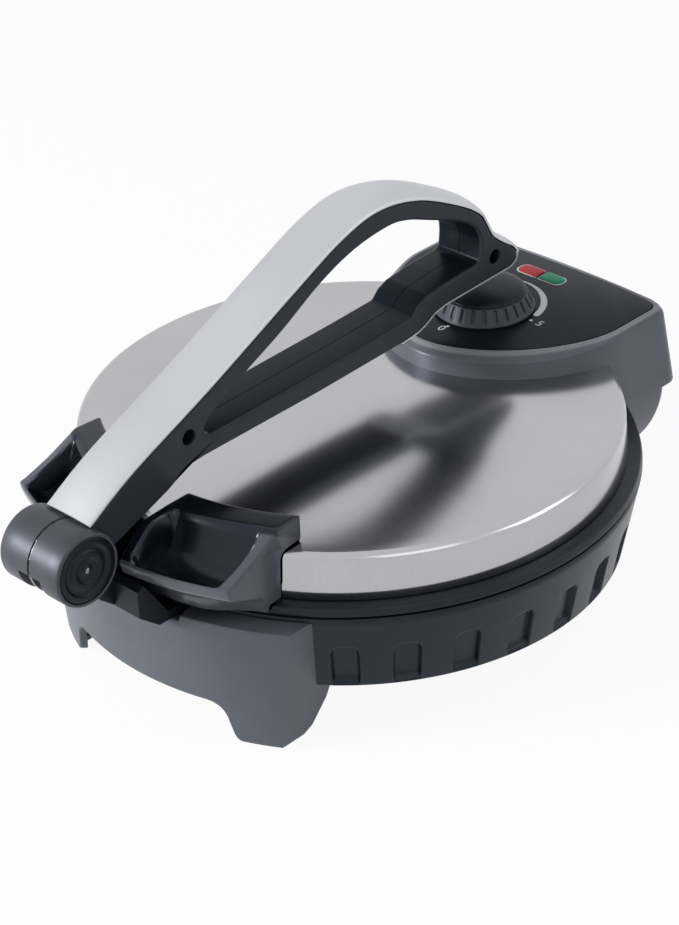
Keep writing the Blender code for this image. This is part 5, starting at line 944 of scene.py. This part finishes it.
def facing_lines():
    """Outer edge and opening of the lever, cut at facing places and run in step with each other."""
    outer = np.concatenate([lever_back_line(), lever_places(LEVER_UNDER)])
    opening = np.concatenate([smooth_line(lever_places(LEVER_ARCH), 8), lever_places(LEVER_FLOOR)])
    edges = (softened(even_line(outer, 2000, closed=True), 4),
             softened(even_line(opening, 1600, closed=True), 2))
    marks = [[int(np.argmin(np.linalg.norm(edge - place, axis=1))) for place in lever_places(places)]
             for edge, places in zip(edges, zip(*LEVER_PAIRS))]
    result = ([], [])
    for k in range(len(LEVER_PAIRS)):
        parts = []
        for edge, places in zip(edges, marks):
            start, stop = places[k], places[(k + 1) % len(places)]
            stop = stop + len(edge) if stop <= start else stop
            parts.append(edge[np.arange(start, stop + 1) % len(edge)])
        count = max(6, int(np.sum(np.linalg.norm(np.diff(parts[0], axis=0), axis=1)) / 0.0012))
        for line, part in zip(result, parts):
            line.append(even_line(part, count + 1)[:-1])
    return np.concatenate(result[0]), np.concatenate(result[1])


def drilled(surface, tools):
    """The same surface after closed tools are cut out of it by exact booleans."""
    items = []
    for points, faces in [surface] + tools:
        mesh = bpy.data.meshes.new("drilled")
        mesh.from_pydata(points.tolist(), [], faces)
        items.append(bpy.data.objects.new("drilled", mesh))
        bpy.context.scene.collection.objects.link(items[-1])
    for tool in items[1:]:
        cut = items[0].modifiers.new("cut", "BOOLEAN")
        cut.operation, cut.solver, cut.object = "DIFFERENCE", "EXACT", tool
    bpy.context.view_layer.update()
    result = bpy.data.meshes.new_from_object(items[0].evaluated_get(bpy.context.evaluated_depsgraph_get()))
    points = np.array([corner.co[:] for corner in result.vertices])
    faces = [list(face.vertices) for face in result.polygons]
    for mesh in [item.data for item in items] + [result]:
        bpy.data.meshes.remove(mesh)
    return points, faces


def hole_tool(share, sizes):
    """Cutter of a screw hole in the lever's right side: a short cylinder along x, wider at its mouth."""
    y, z = lever_places([share])[0]
    hole, mouth, face = sizes.screw_hole, sizes.screw_hole + 0.0003, LEVER_HALF
    profile = [(hole, face - sizes.screw_depth), (hole, face - 0.0003), (mouth, face), (mouth, face + 0.001)]
    return shell(across_x(turned(profile, ring_angles(40)), y, z), caps=True)


def frame_surface(side, sizes):
    """One half of the lever's frame: a closed section (seam, opening edge, side face, outer edge) is
    carried round the opening; both edges are rounded by quarter circles. The right half has its screw
    holes drilled."""
    outer, opening = facing_lines()
    outwards, inwards = outward(outer), outward(opening)
    if turning_outwards(outer) is not outer:
        outwards, inwards = -outwards, -inwards
    edge, lip = sizes.lever_edge, sizes.opening_edge
    seam, face = 0.00015, LEVER_HALF
    rows = [(opening, seam), (opening, seam + 0.0006), (opening, face - lip)]
    rows += [(opening + inwards * lip * draw, face - lip * drop) for draw, drop in bend(6, 15)]
    start, stop = opening + inwards * lip, outer - outwards * edge
    rows += [(start + (stop - start) * share, face) for share in (0.12, 0.35, 0.65, 0.88)]
    rows += [(outer - outwards * edge * draw, face - edge * drop) for draw, drop in bend(6, 15)[::-1]]
    rows += [(outer, face - edge), (outer, seam + 0.0006), (outer, seam)]
    surface = shell(np.stack([side_section(line, side * x) for line, x in rows]), wrap_rows=True)
    return drilled(surface, [hole_tool(share, sizes) for share in SCREW_HOLES]) if side > 0 else surface


def on_axle(profile, angles, side, sink=0.0):
    """Surface turned about the lever's axis, on its right or left side."""
    points = turned(profile, angles, sink=sink)
    points[..., 2] *= side
    return shell(across_x(points, HUB_Y, HUB_Z))


def hub_surface(side, sizes):
    """Half of the hub: a profile turned about the lever's axis, with the recess for its cap; a slot
    under the seam sinks in between two angles."""
    end, radius, recess = HUB_HALF, HUB_RADIUS, 0.01395
    profile = [(0, 0.0011), (radius - 0.0012, 0.0002), (radius, 0.0006), (radius, 0.0062), (radius, 0.0064),
               (radius, 0.010), (radius, end - 0.0009), (radius - 0.0003, end - 0.0003),
               (radius - 0.0009, end), (0.0142, end), (recess, end - 0.0002), (recess, end - 0.0027),
               (0, end - 0.0027)]
    step, soft = 0.2, math.degrees(0.006)
    ends = [SLOT_FROM, SLOT_FROM + step, SLOT_FROM + 2 * step, SLOT_TO - 2 * step, SLOT_TO - step, SLOT_TO]
    angles = np.sort(np.append(np.linspace(-178.75, 180, 144), ends))
    inside = ease((angles - SLOT_FROM) / soft) * ease((SLOT_TO - angles) / soft)
    depth = np.zeros((len(profile), 1))
    depth[1:4] = sizes.slot_depth
    return on_axle(profile, np.radians(angles), side, depth * inside)


def cap_surface(side):
    """Hub cap: a ringed profile turned about the lever's axis."""
    rings = [(0, 0), (0.0012, 0), (0.0020, 0.0009), (0.0048, 0.0009), (0.0054, 0.0002), (0.0080, 0.0002),
             (0.0086, 0.0009), (0.0104, 0.0009), (0.0110, 0.0003), (0.0134, 0.0003)]
    rings = rounded([(radius, HUB_HALF - drop) for radius, drop in rings], 0.0005)
    skirt = [(0.0137, HUB_HALF - 0.0006), (0.0137, HUB_HALF - 0.0024), (0, HUB_HALF - 0.0024)]
    return on_axle(np.concatenate([rings, skirt]), ring_angles(96), side)


def trim_surface(sizes):
    """Thin bright edge of the strip that turns round the lever's tip and runs on below the grip."""
    tip = lever_places(((0.997, 0.408), (1.001, 0.392)) + LEVER_UNDER[:8])
    path = softened(even_line(tip, 240), 2, closed=False)
    normal = outward(path, closed=False)
    normal *= -np.sign(normal[200, 1])
    half, thick = LEVER_HALF - 0.0002, sizes.trim_edge
    rows = [(-half, -0.0002), (half, -0.0002), (half, thick), (-half, thick)]
    return shell(np.stack([side_section(path + normal * rise, x) for x, rise in rows], 1), caps=True)


def pin_surface(side):
    """Polished end of the axle in the middle of a hub cap: a low dome turned about the lever's axis."""
    end, radius = HUB_HALF - 0.0004, 0.0013
    dome = [(radius * math.cos(a), end + 0.0007 * math.sin(a)) for a in np.linspace(math.pi / 2, 0, 8)]
    return on_axle(dome + [(radius, end - 0.0010), (0, end - 0.0010)], ring_angles(32), side)


def strip_surface(sizes):
    """Brushed strip: a crowned section carried along the lever's back, highest at the bend."""
    path = lever_back_line()
    normal = -outward(path, closed=False)
    rise = sizes.strip_crown * (0.35 + 0.65 * np.sin(np.pi * np.linspace(0, 1, len(path))))
    u = np.linspace(-1, 1, 25)
    across = np.concatenate([[-LEVER_HALF] * 2, u * (LEVER_HALF - 0.0003), [LEVER_HALF] * 2])
    edge = np.concatenate([[0.0, 0.7], np.ones(25), [0.7, 0.0]])
    crown = np.pad(1 - np.abs(u) ** 2.4, 2)
    height = GAP + sizes.strip_edge * edge[None, :] + rise[:, None] * crown[None, :]
    side = path[:, None, :] + normal[:, None, :] * height[..., None]
    grid = np.concatenate([np.broadcast_to(across[None, :, None], height.shape + (1,)), side], -1)
    return shell(grid, caps=True)


# Settings


def length(name, description, default):
    """A length in metres that a user may change."""
    return FloatProperty(name=name, description=description, default=default, min=0.0, unit="LENGTH",
                         precision=5)


def power(name, description, default):
    """A lamp's power in watts that a user may change."""
    return FloatProperty(name=name, description=description, default=default, min=0.0, unit="POWER")


def number(name, description, default):
    """A number without a unit that a user may change."""
    return FloatProperty(name=name, description=description, default=default)


def colour(name, description, default):
    """A colour that a user may change, as linear red, green and blue."""
    return FloatVectorProperty(name=name, description=description, default=default, subtype="COLOR", size=3,
                               min=0.0, max=1.0)


class RotiMakerSizes(bpy.types.PropertyGroup):
    """Sizes of the details that the dressing adds to the frame"""
    flute_width: length("Flute width", "Width of one flute in the bowl's wall", 0.0108)
    flute_depth: length("Flute depth", "Depth of the flutes", 0.0025)
    flute_top: length("Flute top", "Height of the flutes' rounded tops", 0.0462)
    flute_corner: length("Flute corner", "Radius of the flutes' upper corners", 0.0036)
    flute_edge: length("Flute edge", "Width of the soft edge of a flute", 0.0012)
    flute_pitch: number("Flute pitch", "Angle between two flutes, in degrees", 12.0)
    flutes_each_side: IntProperty(name="Flutes each side", description="Number of flutes on one side",
                                  default=9)
    moulding_edge: length("Moulding edge", "Radius of the apron's edges", 0.0009)
    notch_half: length("Notch half width", "Half of the notch for the lever's bracket", 0.0265)
    grip_edge: length("Grip edge", "Radius of the grips' end edges", 0.0009)
    cheek_width: length("Cheek width", "Width of the cheeks at the ends of a grip's scoop", 0.0045)
    panel_rim: length("Panel rim", "Width of the box's rim round the panel", 0.0016)
    scale_radius: length("Scale radius", "Radius of the printed temperature scale", 0.0247)
    scale_start: number("Scale start", "Where the scale starts, in degrees", 100.0)
    scale_end: number("Scale end", "Where the scale ends, in degrees", 6.0)
    knob_grooves: IntProperty(name="Knob grooves", description="Number of grooves round the knob", default=26)
    groove_depth: length("Groove depth", "Depth of the knob's grooves", 0.0011)
    lever_edge: length("Lever edge", "Radius of the lever's outer edges", 0.0010)
    opening_edge: length("Opening edge", "Radius of the edges of the lever's opening", 0.0014)
    screw_hole: length("Screw hole", "Radius of the screw holes in the lever's side", 0.0033)
    screw_depth: length("Screw depth", "Depth of the screw holes in the lever's side", 0.0060)
    slot_depth: length("Slot depth", "Depth of the slot under the hub", 0.0032)
    strip_edge: length("Strip edge", "Thickness of the brushed strip at its edges", 0.0012)
    trim_edge: length("Trim edge", "Thickness of the bright edge below the lever", 0.0005)
    strip_crown: length("Strip crown", "Rise of the brushed strip along its middle", 0.0028)
    key_power: power("Key lamp", "Power of the key lamp", 18.0)
    fill_power: power("Fill lamp", "Power of the fill lamp", 1.0)
    back_power: power("Back lamp", "Power of the lamp behind", 2.5)
    room_light: number("Room light", "Strength of the even light all round", 0.30)


class RotiMakerColours(bpy.types.PropertyGroup):
    """Colours of the finishes, and of the painted light and shade over some of them"""
    bowl: colour("Bowl", "Dark base bowl", (0.007, 0.010, 0.016))
    black: colour("Black", "Black moulded parts", (0.006, 0.007, 0.009))
    ring: colour("Ring", "Ring under the steel cover", (0.012, 0.013, 0.016))
    apron: colour("Apron", "Grey front skirt", (0.070, 0.077, 0.094))
    box: colour("Box", "Control box", (0.110, 0.116, 0.138))
    grip: colour("Grips", "Glossy scoops of the grips", (0.004, 0.005, 0.009))
    # Painted light: the grips' front faces and outer cheeks are lighter than their scoops, as if lit
    grip_shell: colour("Grip shell light", "Outer faces of the grips", (0.085, 0.092, 0.110))
    panel: colour("Panel", "Control panel", (0.008, 0.011, 0.017))
    knob: colour("Knob", "Ribs of the temperature knob", (0.070, 0.078, 0.092))
    # Painted shade: the knob's top is darker than its ribs, above the rim
    knob_top_shade: colour("Knob top shade", "Top of the temperature knob", (0.012, 0.015, 0.020))
    # Painted highlight: a light colour along the top rim of the control box, above a height
    box_rim_highlight: colour("Box rim highlight", "Lit rim of the control box", (0.280, 0.290, 0.330))
    lever: colour("Lever", "Lever frame", (0.004, 0.006, 0.010))
    hub: colour("Hub", "Satin hub of the lever", (0.034, 0.036, 0.043))
    # Painted light: the lever's side faces and the lips of its opening are lighter than its inside, as if lit
    lever_side_light: colour("Lever side light", "Side faces of the lever, painted lighter as if lit", (0.038, 0.044, 0.052))
    coating: colour("Coating", "Non-stick coating of the plates", (0.020, 0.020, 0.021))
    red_lens: colour("Red lens", "Power lamp", (0.42, 0.032, 0.034))
    green_lens: colour("Green lens", "Ready lamp", (0.003, 0.240, 0.120))
    dial_print: colour("Dial print", "Print on the panel", (0.88, 0.90, 0.94))
    steel: colour("Steel", "Steel cover of the lid", (0.48, 0.48, 0.50))
    strip: colour("Strip", "Strip on the lever", (0.58, 0.59, 0.62))
    sheet: colour("Sheet steel", "Small steel parts", (0.22, 0.22, 0.23))
    element: colour("Element", "Heating elements", (0.32, 0.31, 0.30))
    floor: colour("Floor", "Floor of the studio", (0.92, 0.92, 0.92))
    steel_roughness: number("Steel roughness", "Roughness of the lid's steel", 0.17)


def sizes():
    """The size settings of the scene."""
    return bpy.context.scene.roti_maker_sizes


# Operators


SIDES = (("right", 1), ("left", -1))


class ROTI_OT_base(bpy.types.Operator):
    """Makes the fluted bowl, the front apron and the rear housing"""
    bl_idname = "roti.base"
    bl_label = "Base mouldings"

    def execute(self, context):
        s = sizes()
        put("bowl", [bowl_surface(s)], "bowl_plastic", "base", ["base_bowl"], sharp=40)
        soles = [sole_surface(1), sole_surface(-1)]
        put("apron", [apron_surface(s)] + soles, "apron_plastic", "base", ["front_apron"], sharp=30)
        housing = [housing_surface()] + knuckles(*HOUSING_KNUCKLES)
        put("housing", housing, "box_plastic", "base", ["rear_housing"])
        return {"FINISHED"}


class ROTI_OT_plates(bpy.types.Operator):
    """Makes the two coated cooking plates"""
    bl_idname = "roti.plates"
    bl_label = "Cooking plates"

    def execute(self, context):
        put("plate_low", [plate_surface(-1)], "coated_plate", "base", ["lower_plate"])
        put("plate_high", [plate_surface(1)], "coated_plate", "lid", ["upper_plate"])
        return {"FINISHED"}


class ROTI_OT_lid(bpy.types.Operator):
    """Makes the steel cover and its ring"""
    bl_idname = "roti.lid"
    bl_label = "Lid"

    def execute(self, context):
        put("steel_cover", [lid_surface()], "brushed_steel", "lid", ["lid_cover"], sharp=50)
        put("ring", [ring_surface()], "ring_plastic", "lid", ["lid_ring"], sharp=40)
        return {"FINISHED"}


class ROTI_OT_grips(bpy.types.Operator):
    """Makes the two scooped grips"""
    bl_idname = "roti.grips"
    bl_label = "Grips"

    def execute(self, context):
        for name, side in SIDES:
            surface, shares = grip_surface(side, sizes())
            put("scooped_grip_" + name, [surface], "grip_plastic", "lid", ["grip_" + name], sharp=38,
                shares=shares)
        return {"FINISHED"}


class ROTI_OT_box(bpy.types.Operator):
    """Makes the control box and its panel"""
    bl_idname = "roti.box"
    bl_label = "Control box"

    def execute(self, context):
        s = sizes()
        box = [box_surface(s)] + knuckles(*BOX_KNUCKLES)
        put("box", box, "box_plastic", "lid", ["control_box"], sharp=30)
        put("panel", [panel_surface(s)], "panel_plastic", "lid", ["control_panel"])
        return {"FINISHED"}


class ROTI_OT_lamps(bpy.types.Operator):
    """Makes the two lamp lenses"""
    bl_idname = "roti.lamps"
    bl_label = "Lamp lenses"

    def execute(self, context):
        for name, side, finish in (("power", -1, "red_lens"), ("ready", 1, "green_lens")):
            put("lens_" + name, [lens_surface(side)], finish, "lid", [name + "_lens"], sharp=50)
        return {"FINISHED"}


def number_surface(text, x, y, size=0.0062):
    """Raised-print mesh of a number, flat on the panel."""
    thick = PRINT_RISE / 2
    curve = bpy.data.curves.new("number", "FONT")
    curve.body, curve.size, curve.align_x, curve.align_y = text, size, "CENTER", "CENTER"
    curve.extrude, curve.resolution_u = thick, 4
    holder = bpy.data.objects.new("number", curve)
    bpy.context.scene.collection.objects.link(holder)
    bpy.context.view_layer.update()
    mesh = bpy.data.meshes.new_from_object(holder.evaluated_get(bpy.context.evaluated_depsgraph_get()))
    points = np.array([corner.co[:] for corner in mesh.vertices]) + (x, y, BOX_TOP_Z + thick)
    faces = [list(face.vertices) for face in mesh.polygons]
    bpy.data.objects.remove(holder)
    bpy.data.curves.remove(curve)
    bpy.data.meshes.remove(mesh)
    return points, faces


class ROTI_OT_print(bpy.types.Operator):
    """Prints the temperature scale, its end marks and the lens outlines on the panel"""
    bl_idname = "roti.print"
    bl_label = "Dial print"

    def execute(self, context):
        shells = [dial_band(sizes()), lens_frame(-1), lens_frame(1)]
        shells += [dot_surface(*dot) for dot in DOTS] + [number_surface(*number) for number in NUMBERS]
        put("dial_print", shells, "dial_print", "lid", weld=False)
        return {"FINISHED"}


class ROTI_OT_knob(bpy.types.Operator):
    """Makes the grooved temperature knob"""
    bl_idname = "roti.knob"
    bl_label = "Knob"

    def execute(self, context):
        put("grooved_knob", [knob_surface(sizes())], "knob_plastic", "knob", ["knob"], sharp=50)
        return {"FINISHED"}


class ROTI_OT_lever(bpy.types.Operator):
    """Makes the lever's two frame halves, the hub with its caps and the brushed strip"""
    bl_idname = "roti.lever"
    bl_label = "Lever"

    def execute(self, context):
        s = sizes()
        for name, side in SIDES:
            half = [frame_surface(side, s)]
            put("frame_" + name, half, "lever_plastic", "lever", ["lever_frame_" + name], sharp=40)
            put("hub_" + name, [hub_surface(side, s)], "hub_plastic", "lever", sharp=40)
            put("cap_" + name, [cap_surface(side)], "black_plastic", "lever", ["hub_cap_" + name], sharp=50)
            put("pin_" + name, [pin_surface(side)], "screw_steel", "lever", sharp=50)
        put("strip", [strip_surface(s), trim_surface(s)], "brushed_strip", "lever", ["lever_strip"], sharp=40)
        return {"FINISHED"}


class ROTI_OT_fittings(bpy.types.Operator):
    """Gives every part of the frame that stays in view its finish"""
    bl_idname = "roti.fittings"
    bl_label = "Fittings"

    def execute(self, context):
        slots = {part["node"]: part["material_slot"] for part in frame["record"]["subparts"]}
        for name, item in frame["nodes"].items():
            item.data.materials.clear()
            item.data.materials.append(look(slots[name]))
        return {"FINISHED"}


class ROTI_OT_studio(bpy.types.Operator):
    """Sets the pale floor, the soft lamps, the room light and the camera of the product view"""
    bl_idname = "roti.studio"
    bl_label = "Studio"

    def execute(self, context):
        scene = context.scene
        s = sizes()
        make_floor()
        make_room(scene, s)
        for name, place, size, power in (("key lamp", (-0.62, -1.10, 0.50), 0.36, s.key_power),
                                         ("fill lamp", (0.95, -0.35, 0.70), 0.60, s.fill_power),
                                         ("back lamp", (0.95, 0.65, 0.75), 0.60, s.back_power)):
            make_lamp(scene, name, place, size, power)
        make_camera(scene)
        scene.view_settings.view_transform = "Standard"
        return {"FINISHED"}


# Studio


def seen(tree):
    """Output: 1 for what the eye, gloss and glass see, 0 for the light that falls on the object."""
    path = wire(tree, "ShaderNodeLightPath").outputs
    return maths(tree, "MAXIMUM", maths(tree, "MAXIMUM", path["Is Camera Ray"], path["Is Glossy Ray"]),
                 path["Is Transmission Ray"])


def make_floor():
    """Wide flat floor with a gentle swell that rises far behind, as a grid of x, y and height. Its own
    white leaves a small share for the shadow of the object."""
    steps, white_share = 41, 0.93
    x, y = np.meshgrid(np.linspace(-6, 6, steps), np.linspace(-6, 6, steps), indexing="ij")
    away = np.maximum(np.hypot(x, y) - 3.0, 0)
    points = np.stack([x, y, 0.10 * away ** 2 - 0.0002], -1)
    mesh = bpy.data.meshes.new("floor")
    faces = grid_faces(steps, steps, False, False)[:, ::-1].tolist()
    mesh.from_pydata(points.reshape(-1, 3).tolist(), [], faces)
    mesh.polygons.foreach_set("use_smooth", np.ones(len(mesh.polygons), bool))
    floor = bpy.data.objects.new("floor", mesh)
    bpy.context.scene.collection.objects.link(floor)
    material = bpy.data.materials.new("studio floor")
    material.use_nodes = True
    tree = material.node_tree
    shader = tree.nodes["Principled BSDF"]
    for label, value in (("Base Color", opaque(colours().floor)), ("Roughness", 0.9),
                         ("Specular IOR Level", 0.0)):
        shader.inputs[label].default_value = value
    white = wire(tree, "ShaderNodeEmission", [("Color", (1, 1, 1, 1)), ("Strength", 1.0)])
    mix = wire(tree, "ShaderNodeMixShader", [(0, maths(tree, "MULTIPLY", seen(tree), white_share)),
                                             (1, shader.outputs[0]), (2, white.outputs[0])])
    tree.links.new(mix.outputs[0], tree.nodes["Material Output"].inputs["Surface"])
    mesh.materials.append(material)


def make_room(scene, s):
    """Even light all round; the eye, gloss and glass see it white."""
    scene.world = bpy.data.worlds.new("studio room")
    scene.world.use_nodes = True
    tree = scene.world.node_tree
    back = tree.nodes["Background"].inputs
    back["Color"].default_value = (1, 1, 1, 1)
    tree.links.new(mapped(tree, seen(tree), 0.0, 1.0, s.room_light, 1.0), back["Strength"])


def make_lamp(scene, name, place, size, power):
    """Square soft lamp that looks at the object's middle."""
    data = bpy.data.lights.new(name, "AREA")
    data.shape, data.size, data.energy = "SQUARE", size, power
    lamp = bpy.data.objects.new(name, data)
    lamp.location = place
    lamp.rotation_euler = (Vector((0, 0, 0.07)) - Vector(place)).to_track_quat("-Z", "Y").to_euler()
    scene.collection.objects.link(lamp)


def make_camera(scene):
    """Camera found from the product view: direction, distance, offsets and roll about its axis."""
    azimuth, height, roll = [math.radians(v) for v in (45.42, 31.26, -2.61)]
    distance, aside, above = 1.10858, -0.00569, -0.00178
    focal_pixels, picture_height, aim_z = 2591.07, 925, 0.060
    flat = math.cos(height)
    back = np.array([math.sin(azimuth) * flat, -math.cos(azimuth) * flat, math.sin(height)])
    right = np.array([math.cos(azimuth), math.sin(azimuth), 0.0])
    up = np.cross(back, right)
    right, up = math.cos(roll) * right + math.sin(roll) * up, -math.sin(roll) * right + math.cos(roll) * up
    place = np.array([0, AXIS_Y, aim_z]) + back * distance + right * aside + up * above
    data = bpy.data.cameras.new("product camera")
    data.sensor_width = 36.0
    data.lens = data.sensor_width * focal_pixels / picture_height
    data.clip_start, data.clip_end = 0.01, 60.0
    camera = bpy.data.objects.new("product camera", data)
    axes = np.stack([right, up, back], 1)
    camera.matrix_world = Matrix([[*axes[k], place[k]] for k in range(3)] + [[0, 0, 0, 1]])
    scene.collection.objects.link(camera)
    scene.camera = camera


# The order in which the steps run
STEPS = ("base", "plates", "lid", "grips", "box", "lamps", "print", "knob", "lever", "fittings", "studio")


class ROTI_PT_dressing(bpy.types.Panel):
    """Lists the steps of the dressing with the sizes and colours they use"""
    bl_idname = "ROTI_PT_dressing"
    bl_label = "Roti maker"
    bl_space_type = "VIEW_3D"
    bl_region_type = "UI"
    bl_category = "Roti maker"

    def draw(self, context):
        for step in STEPS:
            self.layout.operator("roti." + step)
        for settings in (context.scene.roti_maker_sizes, context.scene.roti_maker_colours):
            column = self.layout.column()
            for name in settings.bl_rna.properties.keys():
                if name not in ("rna_type", "name"):
                    column.prop(settings, name)


CLASSES = (
    RotiMakerSizes, RotiMakerColours, ROTI_OT_base, ROTI_OT_plates, ROTI_OT_lid, ROTI_OT_grips, ROTI_OT_box,
    ROTI_OT_lamps, ROTI_OT_print, ROTI_OT_knob, ROTI_OT_lever, ROTI_OT_fittings, ROTI_OT_studio,
    ROTI_PT_dressing,
)


def register():
    """Registers the classes and hangs the two groups of settings on the scene."""
    for item in CLASSES:
        bpy.utils.register_class(item)
    bpy.types.Scene.roti_maker_sizes = PointerProperty(type=RotiMakerSizes)
    bpy.types.Scene.roti_maker_colours = PointerProperty(type=RotiMakerColours)


def unregister():
    """Takes the settings and the classes away again."""
    del bpy.types.Scene.roti_maker_colours
    del bpy.types.Scene.roti_maker_sizes
    for item in reversed(CLASSES):
        bpy.utils.unregister_class(item)


def main():
    """Runs the steps in their order."""
    register()
    for step in STEPS:
        getattr(bpy.ops.roti, step)()
    bpy.context.view_layer.update()


if __name__ == "__main__":
    main()
